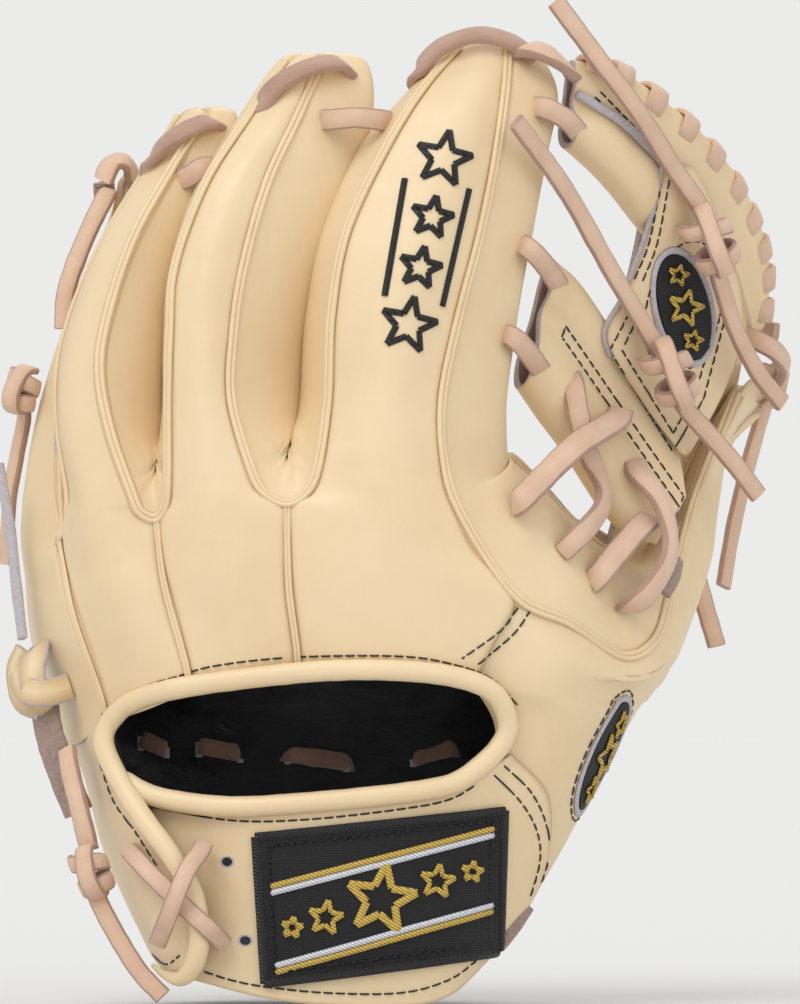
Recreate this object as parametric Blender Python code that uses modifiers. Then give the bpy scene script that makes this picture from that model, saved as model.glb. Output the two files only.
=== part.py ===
"""Right-hander's infield baseball glove, seen as sewn: open back, I-shaped web, laced fingertips.

The glove stands with its fingers up.  +Z runs to the fingertips, -Y is the back of the hand,
+Y the catching side, +X the thumb.  The origin is in the middle of the hand's space,
level with the back window.
Every panel is a smooth sheet through a small net of points in millimetres, given the
thickness of its leather.  Laces are tubes along their routes.
"""
import math

import bmesh
import bpy
from mathutils import Matrix, Vector

MM = 0.001
OBJECT_NAME = "baseball_glove"

# Driving sizes, in millimetres.
LEATHER = 1.8              # shell leather
LINING = 1.2               # soft lining
FELT = 3.2                 # palm and heel felt
WEB_LEATHER = 2.2          # web leather, one layer
SEAM = 2.4                 # a panel stops this far short of the seam it shares
SHARP_SEAM = 4.9           # and this far where the two panels meet at a sharp angle
FLAT_SEAM = 0.6            # and this far where the two panels lie nearly flat
LACE_WIDTH = 6.0           # width of a rawhide lace
LACE_RADIUS = 2.2          # radius of the round tube that stands for a flat lace
WHIP_RADIUS = 1.8          # the same for the lace over the web's top edge
PIPING_RADIUS = 3.0        # rolled binding round the back window

# The line about which the thumb half folds, on the catching side of the palm.
FOLD_LOW = Vector((54.3, 40.6, -58.0))
FOLD_HIGH = Vector((75.0, 8.6, 70.0))
THUMB_HALF = ("gusset_thumb", "thumb_back", "thumb_front", "thumb_patch", "knot_thumb_tip",
              "tail_thumb_tip", "tail_thumb_back")


# ---------------------------------------------------------------- materials

COLOURS = {
    "leather": ((0.83, 0.66, 0.43), 0.45),
    "lining": ((0.012, 0.012, 0.014), 0.7),
    "lace": ((0.72, 0.46, 0.30), 0.75),
    "suede": ((0.52, 0.50, 0.54), 0.9),
    "felt": ((0.55, 0.53, 0.48), 0.95),
    "patch": ((0.012, 0.012, 0.014), 0.8),
}


def material(kind, name):
    colour, roughness = COLOURS[kind]
    made = bpy.data.materials.new(name + "_" + kind)
    made.use_nodes = True
    shader = made.node_tree.nodes["Principled BSDF"]
    shader.inputs["Base Color"].default_value = (*colour, 1.0)
    shader.inputs["Roughness"].default_value = roughness
    shader.inputs["Metallic"].default_value = 0.0
    made.diffuse_color = (*colour, 1.0)
    return made


# ---------------------------------------------------------------- splines and nets

def spline(points, t):
    """Point at t, from 0 to 1, on the smooth curve through the points."""
    last = len(points) - 1
    place = min(max(t, 0.0), 1.0) * last
    k = min(int(place), last - 1)
    f = place - k
    p1 = Vector(points[k])
    p2 = Vector(points[k + 1])
    p0 = Vector(points[k - 1]) if k > 0 else p1 * 2 - p2
    p3 = Vector(points[k + 2]) if k + 2 <= last else p2 * 2 - p1
    m1 = (p2 - p0) * 0.5
    m2 = (p3 - p1) * 0.5
    f2 = f * f
    f3 = f2 * f
    return p1 * (2 * f3 - 3 * f2 + 1) + m1 * (f3 - 2 * f2 + f) + p2 * (3 * f2 - 2 * f3) + m2 * (f3 - f2)


def surface(net, s, t):
    """Point of a net's surface: s runs across its curves, t runs along them."""
    return spline([spline(curve, t) for curve in net], s)


def grid(net, across, along, s_range=(0.0, 1.0), t_range=(0.0, 1.0)):
    rows = []
    for j in range(along + 1):
        t = t_range[0] + (t_range[1] - t_range[0]) * j / along
        row = []
        for i in range(across + 1):
            s = s_range[0] + (s_range[1] - s_range[0]) * i / across
            row.append(surface(net, s, t))
        rows.append(row)
    return rows


def shortened(row, start, end):
    """The same number of points along a row, shorter by these lengths at its two ends."""
    steps = [(b - a).length for a, b in zip(row, row[1:])]
    width = sum(steps)
    start = min(start, 0.4 * width)
    end = min(end, 0.4 * width)
    out = []
    for i in range(len(row)):
        rest = start + (width - start - end) * i / (len(row) - 1)
        k = 0
        while k < len(steps) - 1 and rest > steps[k]:
            rest -= steps[k]
            k += 1
        out.append(row[k].lerp(row[k + 1], rest / steps[k]))
    return out


def inset(rows, left=SEAM, right=SEAM, low=0.0, high=0.0, flat_rows=0):
    """Draws a grid's edges in from its seams by these distances, and less along its flat rows."""
    out = [list(row) for row in rows]
    for j, row in enumerate(out):
        share = FLAT_SEAM / SEAM if j < flat_rows else 1.0
        narrow = min((row[1] - row[0]).length, (row[-2] - row[-1]).length)
        if max(left, right) * share > 0.95 * narrow:
            out[j] = shortened(row, left * share, right * share)
            continue
        row[0] = row[0] + (row[1] - row[0]).normalized() * left * share
        row[-1] = row[-1] + (row[-2] - row[-1]).normalized() * right * share
    for i in range(len(out[0])):
        out[0][i] = out[0][i] + (out[1][i] - out[0][i]).normalized() * low
        out[-1][i] = out[-1][i] + (out[-2][i] - out[-1][i]).normalized() * high
    return out


def normals(rows):
    """Unit normals of a grid: across x along."""
    last_j = len(rows) - 1
    last_i = len(rows[0]) - 1
    out = []
    for j in range(last_j + 1):
        line = []
        for i in range(last_i + 1):
            across = rows[j][min(i + 1, last_i)] - rows[j][max(i - 1, 0)]
            along = rows[min(j + 1, last_j)][i] - rows[max(j - 1, 0)][i]
            line.append(across.cross(along).normalized())
        out.append(line)
    return out


def lifted(rows, distance):
    """The grid moved along its own normals."""
    if distance == 0.0:
        return rows
    ups = normals(rows)
    return [[p + n * distance for p, n in zip(row, up)] for row, up in zip(rows, ups)]


# ---------------------------------------------------------------- objects

def link(obj, kind):
    bpy.data.collections[OBJECT_NAME].objects.link(obj)
    obj.data.materials.append(material(kind, obj.name))
    return obj


def sheet(name, rows, thickness, kind="leather", holes=None):
    """A panel: the grid is its outer face, and Solidify gives it its thickness inwards."""
    count = len(rows[0])
    verts = [p * MM for row in rows for p in row]
    faces = []
    for j in range(len(rows) - 1):
        for i in range(count - 1):
            if holes and holes(i, j):
                continue
            k = j * count + i
            faces.append((k, k + 1, k + 1 + count, k + count))
    mesh = bpy.data.meshes.new(name)
    mesh.from_pydata(verts, [], faces)
    bm = bmesh.new()
    bm.from_mesh(mesh)
    loose = [v for v in bm.verts if not v.link_faces]
    bmesh.ops.delete(bm, geom=loose, context="VERTS")
    bm.to_mesh(mesh)
    bm.free()
    mesh.shade_smooth()
    obj = bpy.data.objects.new(name, mesh)
    link(obj, kind)
    shell = obj.modifiers.new("thickness", "SOLIDIFY")
    shell.thickness = thickness * MM
    shell.offset = -1.0
    return obj


def route(points, spacing):
    """Points at an even spacing along the smooth curve through a route's own points."""
    length = sum((Vector(b) - Vector(a)).length for a, b in zip(points, points[1:]))
    count = max(3, round(length / spacing))
    return [spline(points, k / count) for k in range(count + 1)]


def tube(name, points, radius=LACE_RADIUS, kind="lace", spacing=7.0, closed=False):
    """A lace or a rolled binding: a round tube along its route."""
    curve = bpy.data.curves.new(name, "CURVE")
    curve.dimensions = "3D"
    curve.bevel_depth = radius * MM
    curve.bevel_resolution = 2
    curve.use_fill_caps = True
    line = curve.splines.new("POLY")
    places = route(points, spacing)
    if closed:
        places = places[:-1]
        line.use_cyclic_u = True
    line.points.add(len(places) - 1)
    for point, place in zip(line.points, places):
        point.co = (*(place * MM), 1.0)
    obj = bpy.data.objects.new(name, curve)
    return link(obj, kind)


def as_mesh(obj):
    """The same piece as a mesh object, its caps welded, so that it can cut another."""
    made = bpy.data.meshes.new_from_object(obj.evaluated_get(bpy.context.evaluated_depsgraph_get()))
    bm = bmesh.new()
    bm.from_mesh(made)
    bmesh.ops.remove_doubles(bm, verts=bm.verts, dist=0.00001)
    bm.to_mesh(made)
    bm.free()
    copy = bpy.data.objects.new(obj.name + "_mesh", made)
    copy.matrix_world = obj.matrix_world
    bpy.data.collections[OBJECT_NAME].objects.link(copy)
    bpy.data.objects.remove(obj)
    return copy


# ---------------------------------------------------------------- the fingers
# Each finger is a row of levels.  A level is its height, then (x, y) of: the left welt, the
# crown, the right welt, the right side, the right palm seam, the left palm seam, the left side.

INDEX = [
    (80, (4, -47), (24, -53), (42, -45), (60, -24), (58, -4), (4, -2), (-1, -22)),
    (100, (7, -43), (25, -50), (41, -42), (59.5, -22), (57, -5), (5, -4), (0, -20)),
    (125, (8, -40), (28, -47), (46, -38), (63, -20), (60, -6), (8, -5), (2, -20)),
    (150, (12.5, -36), (35, -43), (52.5, -34), (67.5, -18), (65, -5), (15, -4), (7.5, -19)),
    (175, (24, -31), (44, -36), (57.5, -29), (72.5, -15), (69, -3), (26, -2), (18, -16)),
    (193, (35, -22), (50, -26), (60, -20), (75, -9), (72, 0), (36, 0), (31, -10)),
    (206, (46, -8), (53, -10), (61, -8), (68, -4), (66, 1), (46, 1), (43, -3)),
]
MIDDLE = [
    (78, (-40.5, -42), (-28, -49), (-15, -47), (-4.5, -22), (-4, -2), (-38, 0), (-41.5, -20)),
    (100, (-40.5, -41), (-30, -46), (-21.5, -43), (-3.5, -21), (-4, -4), (-39, 0), (-41, -19)),
    (120, (-40, -39), (-30, -44), (-21, -40), (-2, -20), (-3, -5), (-38, 0), (-40.5, -18)),
    (140, (-38.5, -36), (-28, -41), (-18, -37), (2, -19), (1, -4), (-34, 0), (-38.5, -17)),
    (165, (-29.5, -30), (-20, -34), (-11, -31), (11.5, -16), (8, -3), (-25, 2), (-30, -14)),
    (185, (-17, -20), (-8, -24), (-2, -22), (19.5, -11), (16, -1), (-15, 3), (-20, -8)),
    (202, (-6, -8), (-1, -10), (5, -9), (18, -5), (15, 1), (-4, 2), (-8, -3)),
]
RING = [
    (72, (-71, -14), (-66, -31), (-51, -39), (-43.5, -20), (-43, 2), (-62, 20), (-69, 2)),
    (92, (-74, -8), (-71, -24), (-58, -34), (-44, -18), (-45, 4), (-63, 22), (-70, 6)),
    (111, (-74, -4), (-71.5, -19), (-61, -30), (-44, -16), (-46, 4), (-63, 22), (-69, 8)),
    (130, (-69, 0), (-67, -15), (-57.5, -27), (-42, -15), (-44, 4), (-60, 21), (-65, 9)),
    (150, (-60, 4), (-59, -11), (-50.5, -24), (-36, -13), (-37, 4), (-54, 19), (-57, 11)),
    (170, (-48, 7), (-47, -7), (-39.5, -17), (-24.5, -10), (-27, 4), (-45, 16), (-47, 10)),
    (186, (-38, 4), (-35, -3), (-30, -6), (-21, -3), (-22, 4), (-36, 10), (-38, 7)),
]
PINKY = [
    (60, (-84, 28), (-85, 11), (-76, -4), (-68, 10), (-60, 26), (-74, 48), (-81, 40)),
    (80, (-82, 32), (-83.5, 18), (-79, 4), (-70, 16), (-60, 30), (-73, 49), (-79, 42)),
    (100, (-78, 34), (-80, 21), (-78, 8), (-69, 18), (-59, 32), (-70, 49), (-75, 43)),
    (120, (-72, 34), (-74, 23), (-73, 12), (-65, 19), (-55, 31), (-65, 47), (-69, 42)),
    (138, (-66, 33), (-67.5, 23), (-67, 14), (-59, 20), (-51, 30), (-60, 43), (-63, 39)),
    (154, (-59, 31), (-60, 24), (-60, 16), (-53, 20), (-48, 28), (-55, 38), (-57, 35)),
    (167, (-55, 28), (-56, 24), (-56, 20), (-51, 22), (-49, 26), (-53, 32), (-54, 30)),
]
LEFT_WELT, CROWN, RIGHT_WELT, RIGHT_SIDE, RIGHT_PALM, LEFT_PALM, LEFT_SIDE = range(1, 8)


def line_of(finger, place):
    """One of a finger's seven long lines, from its base to its tip."""
    return [(level[place][0], level[place][1], level[0]) for level in finger]


# The strips run on down from the fingers to the back window.
INDEX_HAND = ([(-2, -47, 23), (-4, -50, 45), (-5, -48.5, 66)],
              [(24, -51, 24.5), (24, -54, 46), (24, -54.5, 65)],
              [(47, -47, 23.5), (61, -46, 42), (46.5, -47, 66)])
MIDDLE_HAND = ([(-34, -43, 19.5), (-41, -43, 46), (-43.5, -40, 64)],
               [(-18, -48, 21.5), (-23, -51, 46), (-26, -50.5, 64)],
               [(-3, -47.5, 22.5), (-5, -50, 46), (-7.5, -48.5, 66.5)])
RING_HAND = ([(-59, -27, 10), (-68.5, -24, 40), (-72, -19, 59)],
             [(-47, -37, 14), (-56, -39, 40), (-62, -35, 58)],
             [(-35, -43, 19), (-41.5, -43, 45), (-45, -40, 62.5)])
PINKY_HAND = ([(-69, 40, 2), (-77, 45, 24), (-77, 47, 44)],
              [(-73, 26, 3), (-82, 34, 25), (-82.5, 38, 44)],
              [(-73.5, 10, 5), (-82, 18, 27), (-84.5, 24, 44)],
              [(-68, -10, 7), (-79, -2, 29), (-84, 4, 45)],
              [(-60, -25.5, 9), (-69, -23.5, 34), (-73.5, -16, 52)])


def strip(finger, hand):
    """A finger's back strip, from the window to the tip; the last one wraps to the palm seam."""
    places = (LEFT_PALM, LEFT_SIDE, LEFT_WELT, CROWN, RIGHT_WELT)[-len(hand):]
    return [low + line_of(finger, place) for low, place in zip(hand, places)]


def between(left_finger, right_finger, crotch):
    """The strip between two fingers: down one side, round the crotch and up the other side."""
    pairs = ((RIGHT_WELT, LEFT_WELT), (RIGHT_SIDE, LEFT_SIDE), (RIGHT_PALM, LEFT_PALM))
    net = []
    for (down, up), turn in zip(pairs, crotch):
        net.append(line_of(left_finger, down)[::-1] + [turn] + line_of(right_finger, up))
    return net[::-1]


INDEX_MIDDLE = between(MIDDLE, INDEX, ((-5, -48, 69.5), (-3, -26, 70), (0, -2, 75)))
MIDDLE_RING = between(RING, MIDDLE, ((-44, -39.5, 65), (-43, -22, 67), (-40.5, 1, 72)))
RING_PINKY = between(PINKY, RING, ((-73.5, -13.5, 60), (-69, 5, 62), (-61.5, 22.6, 67.2)))

# ---------------------------------------------------------------- the thumb half

# Index side of the crotch, then the thumb side: welt, side and palm seam.
CROTCH_INDEX = [[(48, -47, 64), (63, -46, 42), (79, -38, 34)],
                [(61, -26, 80), (70, -26, 70), (80, -21, 60)],
                [(63, -2, 84), (72, 1, 74.5), (80, 6, 65)]]
CROTCH_THUMB = [[(79, -38, 34), (95, -21, 24), (105, -9, 29), (110, 8, 44), (116, 28, 66),
                 (124, 46, 87), (131, 61, 103)],
                [(80, -21, 60), (89, -15, 52), (99, -4, 46), (106, 10, 50), (112, 26, 63),
                 (119, 49, 84), (129, 66, 103)],
                [(80, 6, 65), (91, 13, 56), (101, 24, 55), (108, 36, 65), (115, 48, 78),
                 (121, 60, 91), (131, 73, 101)]]

THUMB_BACK = [
    [(58, -22, -58), (71, -27, -30), (66.5, -40.5, 6), (56, -46, 21.5), (63, -46, 41), (80, -37, 33),
     (95, -21, 24), (105, -9, 29), (110, 8, 44), (116, 28, 66), (124, 46, 87), (131, 61, 103)],
    [(61, -13, -58), (76, -17, -30), (84, -29, 5), (84, -34, 16), (88, -28, 21), (99, -17, 23),
     (107, -7, 25), (113, 5, 34), (117, 21, 48), (121, 38, 68), (127, 54, 89), (136, 66, 106.5)],
    [(63, 3, -58), (79.5, -1, -30), (96, 2, 5), (105, 6, 14), (110, 9, 19), (114, 13, 25),
     (117, 19, 31), (120, 27, 40), (123, 37, 53), (125.5, 50, 70), (130, 66, 90), (140.5, 76, 105)],
    [(62, 19, -57), (77, 22, -30), (96, 31, 5), (103, 35, 14), (107, 38, 18), (110, 41, 25),
     (113, 44, 32), (116, 48, 42), (119, 54, 54), (121.5, 63, 70), (128, 76, 88), (138, 84, 99)],
]


def fold_point(z):
    part = (z - FOLD_LOW.z) / (FOLD_HIGH.z - FOLD_LOW.z)
    return FOLD_LOW.lerp(FOLD_HIGH, part)


THUMB_FRONT = [
    [(62, 20, -57), (77, 23, -30), (96, 32, 5), (107, 39, 18), (116, 49, 42), (121.5, 64.5, 70),
     (127.5, 77, 88), (137.5, 85, 98.5)],
    [(60, 32, -58), (69, 33, -30), (81, 32, 0), (90, 30, 18), (104, 35, 44), (115, 54, 72),
     (124, 68, 90), (134, 79, 100.5)],
    [tuple(fold_point(-58)), tuple(fold_point(-30)), tuple(fold_point(0)), tuple(fold_point(26)),
     (88, 12, 58), (108, 38, 64), (121, 61, 91), (130.5, 74, 101)],
]

# ---------------------------------------------------------------- the palm
# From the heel up to the foot of each finger; across, from the thumb fold to the little finger.

PALM_ROWS = [
    [(38, 43, -61), (24, 46, -65), (8, 47, -67), (-10, 46, -67), (-26, 43, -65), (-40, 35, -61),
     (-50, 23, -56)],
    [(42, 42, -30), (26, 45, -30), (8, 45, -30), (-10, 45, -30), (-28, 46, -30), (-45, 44, -30),
     (-60, 32, -30)],
    [(48, 29, 2), (25, 26, 4), (5, 26, 4), (-15, 29, 4), (-35, 36, 4), (-55, 44, 4), (-72, 38, 4)],
    [(52, 16, 38), (27, 6, 38), (2, 5, 38), (-18, 8, 38), (-40, 18, 38), (-60, 35, 38),
     (-80, 45, 36)],
]
PALM_FOLD = (-58, -30, 2, 36)
PALM_CORNER = (71, 2.5, 73)      # the palm's right edge, at the foot of the index finger


def finger_front(finger):
    """The three lines of a finger's catching side, from its right palm seam to its left."""
    right = line_of(finger, RIGHT_PALM)
    left = line_of(finger, LEFT_PALM)
    middle = [tuple((Vector(a) + Vector(b)) / 2) for a, b in zip(left, right)]
    return [right, middle, left]


def palm_net():
    """Twelve lines from the heel up over the palm and on up the fronts of the four fingers."""
    fingers = [line for finger in (INDEX, MIDDLE, RING, PINKY) for line in finger_front(finger)]
    fingers[0][0] = PALM_CORNER
    rows = [[tuple(fold_point(z))] + row for z, row in zip(PALM_FOLD, PALM_ROWS)]
    last = len(fingers) - 1
    return [[tuple(spline(row, k / last)) for row in rows] + line for k, line in enumerate(fingers)]


def palm_rows(along=24):
    """The palm's grid: a row across its twelve lines at each step up the glove."""
    net = palm_net()
    return [[spline(line, j / along) for line in net] for j in range(along + 1)]


def hand_rows(rows=10, along=24):
    """The part of the palm below the fingers."""
    return palm_rows(along)[:rows]


# ---------------------------------------------------------------- the web

def web_y(x, z):
    """Depth of the web's middle sheet: it leaves the index finger and curves to the thumb."""
    d = x - 60 - 0.22 * max(0.0, z - 110)
    low = max(0.0, (105 - z) / 50)
    return -6 + 0.5 * d + 0.0065 * d * d - 0.62 * d * low * low


def midline(line_a, line_b):
    return [((a[0] + b[0]) / 2, (a[1] + b[1]) / 2) for a, b in zip(line_a, line_b)]


TOP_RAIL = [(80, 202.5), (92.4, 200.4), (102, 195), (112.5, 187.5), (122, 178.5), (130.5, 168),
            (136.5, 156), (139.8, 142.5), (138.5, 128)]
TOP_BAR_LOW = [(77.4, 176), (85, 169.5), (92, 162.5), (99, 154), (105.5, 146), (111.5, 138),
               (117, 129), (122, 119), (128, 111)]
POST_LEFT = [(104, 171), (102, 161), (97.5, 146), (92, 132), (87, 119), (98, 99), (109.5, 80)]
POST_RIGHT = [(111, 171), (118, 161), (123.5, 147), (127.5, 132), (127, 118), (121, 101),
              (113.5, 82)]
LOWER_BAR_TOP = [(74, 143), (81, 137), (89, 126), (98, 112), (106.5, 97), (112, 84), (114, 71)]
LOWER_BAR_LOW = [(63.5, 104), (70, 95), (77.4, 85.5), (84, 75.5), (90, 66.5), (97.5, 60), (106, 60)]


def web_rows(low, high, along, out, across=4, s_range=(0.0, 1.0), t_range=(0.0, 1.0)):
    """A web layer between two lines, moved off the web's sheet along its own normals."""
    net = [[(x, web_y(x, z), z) for x, z in line] for line in (low, midline(low, high), high)]
    return lifted(grid(net, across, along, s_range, t_range), out)


def build_web():
    layer = WEB_LEATHER + 0.6
    inner = ((0.07, 0.93), (0.05, 0.95))
    bars = [sheet("web_top_bar", web_rows(TOP_BAR_LOW, TOP_RAIL, 16, 0.0), WEB_LEATHER),
            sheet("web_top_bar_front", web_rows(TOP_BAR_LOW, TOP_RAIL, 14, layer, 4, *inner),
                  WEB_LEATHER)]
    sheet("web_lower_bar", web_rows(LOWER_BAR_LOW, LOWER_BAR_TOP, 12, 0.0), WEB_LEATHER)
    sheet("web_lower_bar_front", web_rows(LOWER_BAR_LOW, LOWER_BAR_TOP, 10, layer, 4, *inner),
          WEB_LEATHER)
    sheet("web_post_back", web_rows(POST_LEFT, POST_RIGHT, 12, -layer), WEB_LEATHER)
    sheet("web_post_front", web_rows(POST_LEFT, POST_RIGHT, 12, 2 * layer), WEB_LEATHER)
    whip = whip_path()
    tube("web_whip_lace", whip, WHIP_RADIUS, spacing=5.5)
    cutter = as_mesh(tube("whip_holes", whip, WHIP_RADIUS + 0.45, spacing=5.5))
    bpy.data.collections[OBJECT_NAME].objects.unlink(cutter)
    bpy.data.collections["cutters"].objects.link(cutter)
    cutter.hide_render = True
    cutter.display_type = "WIRE"
    for bar in bars:
        cut = bar.modifiers.new("lace_holes", "BOOLEAN")
        cut.operation = "DIFFERENCE"
        cut.object = cutter


def whip_path(turns=9, half_depth=6.5, half_height=5.6):
    """The lace that whips over the web's top edge: a flattened helix round that edge."""
    edge = [Vector((x, web_y(x, z) + 0.3, z)) for x, z in TOP_RAIL]
    inner = [Vector((x, web_y(x, z) + 0.3, z)) for x, z in TOP_BAR_LOW]
    points = []
    steps = 10
    for k in range(turns * steps + 1):
        t = 0.13 + 0.8 * k / (turns * steps)
        angle = 2 * math.pi * k / steps
        top = spline(edge, t)
        inward = (spline(inner, t) - top).normalized()
        along = (spline(edge, t + 0.02) - spline(edge, t - 0.02)).normalized()
        out = inward.cross(along).normalized()
        centre = top + inward * 3.4
        points.append(centre - inward * half_depth * math.cos(angle) + out * half_height * math.sin(angle))
    return points


# ---------------------------------------------------------------- wrist

STRAP = [
    [(-34, -38, -72), (-44, -33, -45), (-46, -31, -20)],
    [(-8, -43.5, -78), (-12, -44.5, -47), (-12, -45.5, -23)],
    [(22, -43.5, -80.5), (20, -46.5, -48), (20, -48, -21)],
    [(42, -38.5, -77.5), (45, -41, -46), (44, -44, -18.5)],
    [(56, -24, -67), (68.5, -27.5, -38), (64, -37.5, -13)],
]
FLAP = [
    [(-47, 18, -60), (-53, 25, -48), (-59, 31, -32), (-64, 35, -16), (-68.5, 39, -1)],
    [(-47, -6, -64), (-54, 2, -50), (-61, 8, -34), (-66, 11, -15), (-73, 12, 2)],
    [(-41, -33, -70), (-48, -28, -52), (-55, -22, -34), (-62.5, -13, -12), (-67.5, -11, 4)],
    [(-34, -46, -70), (-34.5, -46.5, -46), (-44, -41, -30), (-57, -29, -8), (-60.5, -26, 5)],
]
WINDOW_ROLL = [(-43, -37, -18), (-22, -44.5, -20.5), (4, -48.5, -19), (28.5, -49, -16.5),
               (43, -46.5, -14), (51, -44, -9.5), (58.5, -41.5, -2), (60.3, -42, 5), (56, -45.5, 13.5),
               (45, -49, 18), (28, -52.5, 20), (8, -52.5, 20), (-14, -50.5, 18), (-38, -43, 14.5),
               (-51, -34, 10.5), (-57.5, -30, 5), (-59.8, -29, -1), (-57, -31.5, -9)]
FLAP_ROLL = [(-54.5, -34, -14), (-47, -40.5, -24), (-39, -46.5, -35.5), (-32.5, -49, -46),
             (-30.5, -49.5, -58), (-31.5, -48.5, -68)]


def disc(name, net, centre, spread, lift, thickness, kind="patch", rings=3, sides=20):
    """An oval patch lying on a net's surface."""
    s0, t0 = centre
    ds, dt = spread
    out = Vector()
    verts = []
    for ring in range(rings + 1):
        for k in range(1 if ring == 0 else sides):
            angle = 2 * math.pi * k / sides
            s = s0 + ds * ring / rings * math.cos(angle)
            t = t0 + dt * ring / rings * math.sin(angle)
            here = surface(net, s, t)
            right = surface(net, s + 0.01, t) - here
            up = surface(net, s, t + 0.01) - here
            out = right.cross(up).normalized()
            verts.append((here + out * lift) * MM)
    faces = []
    for k in range(sides):
        n = (k + 1) % sides
        faces.append((0, 1 + k, 1 + n))
        for ring in range(1, rings):
            a = 1 + (ring - 1) * sides
            b = a + sides
            faces.append((a + k, b + k, b + n, a + n))
    mesh = bpy.data.meshes.new(name)
    mesh.from_pydata(verts, [], faces)
    mesh.shade_smooth()
    obj = bpy.data.objects.new(name, mesh)
    link(obj, kind)
    shell = obj.modifiers.new("thickness", "SOLIDIFY")
    shell.thickness = thickness * MM
    shell.offset = -1.0
    return obj


def knot(name, centre, size, kind="lace", turn=0.0):
    """A pulled knot as a plain rounded lump."""
    bm = bmesh.new()
    bmesh.ops.create_icosphere(bm, subdivisions=2, radius=1.0)
    shape = Matrix.Rotation(turn, 4, "Y") @ Matrix.Diagonal((*size, 1.0))
    bmesh.ops.transform(bm, matrix=shape, verts=bm.verts)
    bmesh.ops.scale(bm, vec=(MM, MM, MM), verts=bm.verts)
    mesh = bpy.data.meshes.new(name)
    bm.to_mesh(mesh)
    bm.free()
    mesh.shade_smooth()
    obj = bpy.data.objects.new(name, mesh)
    obj.location = Vector(centre) * MM
    return link(obj, kind)


# ---------------------------------------------------------------- laces
# Routes in millimetres.  Free ends first: each hangs from its knot or hole.

TAILS = {
    "tail_web_top_long": [(120.5, 18, 157), (111, 8, 170), (99.5, -5, 187.5), (87.5, -11, 203),
                          (75, -14, 219.6)],
    "tail_web_top_short": [(125, 24, 136.5), (130, 31, 122), (137, 41, 109), (144.6, 51, 100)],
    "tail_web_low_long": [(106.5, 14, 115), (92, -3, 139), (78, -18, 163), (63, -37, 183)],
    "tail_web_low_short": [(114, 17.5, 98.5), (121, 21, 91), (129, 25, 82), (136.8, 32, 72)],
    "tail_thumb_tip": [(140.5, 88, 100), (135, 91, 80), (130.5, 88, 61), (127.5, 82, 44)],
    "tail_thumb_back": [(113, 58, 61), (118, 62, 50), (121.5, 64, 38), (125, 62, 26)],
    "tail_pinky_tip": [(-59, 13.5, 164), (-64, 10, 154), (-69, 7, 142), (-72, 4.5, 132),
                       (-72.5, 3, 122)],
    "tail_pinky_side": [(-84.5, 26, 97), (-87, 27, 85), (-89.5, 28, 70), (-90.5, 29, 51)],
    "tail_pinky_heel": [(-84.5, -8, 29), (-86.5, -5, 45), (-88.5, 0, 62), (-92, 4, 81)],
    "tail_flap": [(-62, -30, -47), (-57, -32, -57), (-49.5, -36, -69), (-42, -38, -77)],
}

LACES = {
    "tip_lace_index": [(33, -12, 199), (41, -13.5, 206.5), (52, -13.5, 210.8), (63, -12, 209),
                       (71, -8, 203)],
    "tip_lace_middle": [(-17.5, -18.5, 187.5), (-10, -20.5, 195), (1, -19.5, 200.5), (12, -16, 201)],
    "tip_lace_ring": [(-49.5, -6.5, 172), (-42, -14.5, 178.5), (-34, -15.5, 183), (-26, -13, 185.5)],
    "tip_lace_pinky": [(-61, 12, 167), (-58, 15.5, 172), (-54.5, 14.5, 171.5), (-53, 11.5, 166.5)],
    "lace_middle_index": [(9, -23, 184), (15, -24, 184.5), (21, -24.5, 184)],
    "lace_ring_middle": [(-34, -18.5, 166.5), (-33, -19.5, 168.5), (-32.2, -21, 170.5)],
    "web_lace_top": [(73.5, -20, 187), (78.5, -14.5, 184), (81, -8, 180.5)],
    "web_lace_upper": [(68, -25, 145), (72, -17, 140), (76, -6.5, 134)],
    "web_lace_lower": [(62.5, -26, 119), (67, -17, 113), (72, -7, 107.5)],
    "crotch_lace_a": [(81, 1, 104), (82, 0, 94), (84, -1, 84), (87, -2.5, 76), (88, -9, 69),
                      (84, -20, 63), (79.5, -31, 57)],
    "crotch_lace_b": [(93.6, 9, 94), (88, -2, 91), (83, -8, 87.5), (76, -18, 81), (69, -30, 74),
                      (65, -37.5, 70)],
    "crotch_lace_c": [(99.6, 10, 79), (105, 6, 72), (108, 1, 65), (109.5, -6, 55), (105, -15, 46),
                      (99, -19.5, 38.7)],
    "crotch_lace_d": [(99.5, -5, 64), (95.5, -12, 60), (91.5, -19, 57), (88, -26, 54.5)],
    "strap_lace_under": [(-50.5, -37, -35), (-45, -43, -41), (-38, -49, -47.5),
                         (-32, -55.4, -53), (-27, -53, -57.5), (-24, -47.5, -61)],
    "strap_lace_over": [(-30.5, -45, -33), (-34.5, -53, -38.5), (-37.5, -56.2, -46),
                        (-41, -51.5, -55), (-43, -45, -60.5)],
}

KNOTS = {
    "knot_web_upper": ((122.5, 20.5, 147), (6, 5.5, 9)),
    "knot_web_lower": ((110.6, 16.5, 106.5), (5.5, 5, 7)),
    "knot_thumb_tip": ((143, 88, 106), (4.5, 4, 5)),
    "knot_flap": ((-63, -27, -41), (5.5, 4.5, 5)),
    "knot_pinky_side": ((-87, 20, 102), (4.5, 5, 7)),
    "knot_pinky_heel": ((-83.5, -8, 17), (7, 6, 8.5)),
}


def slit(column, row):
    """True where the palm leather is slit between two fingers, the last slit a row deeper."""
    return column % 3 == 2 and row >= (9 if column == 8 else 10)


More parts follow.
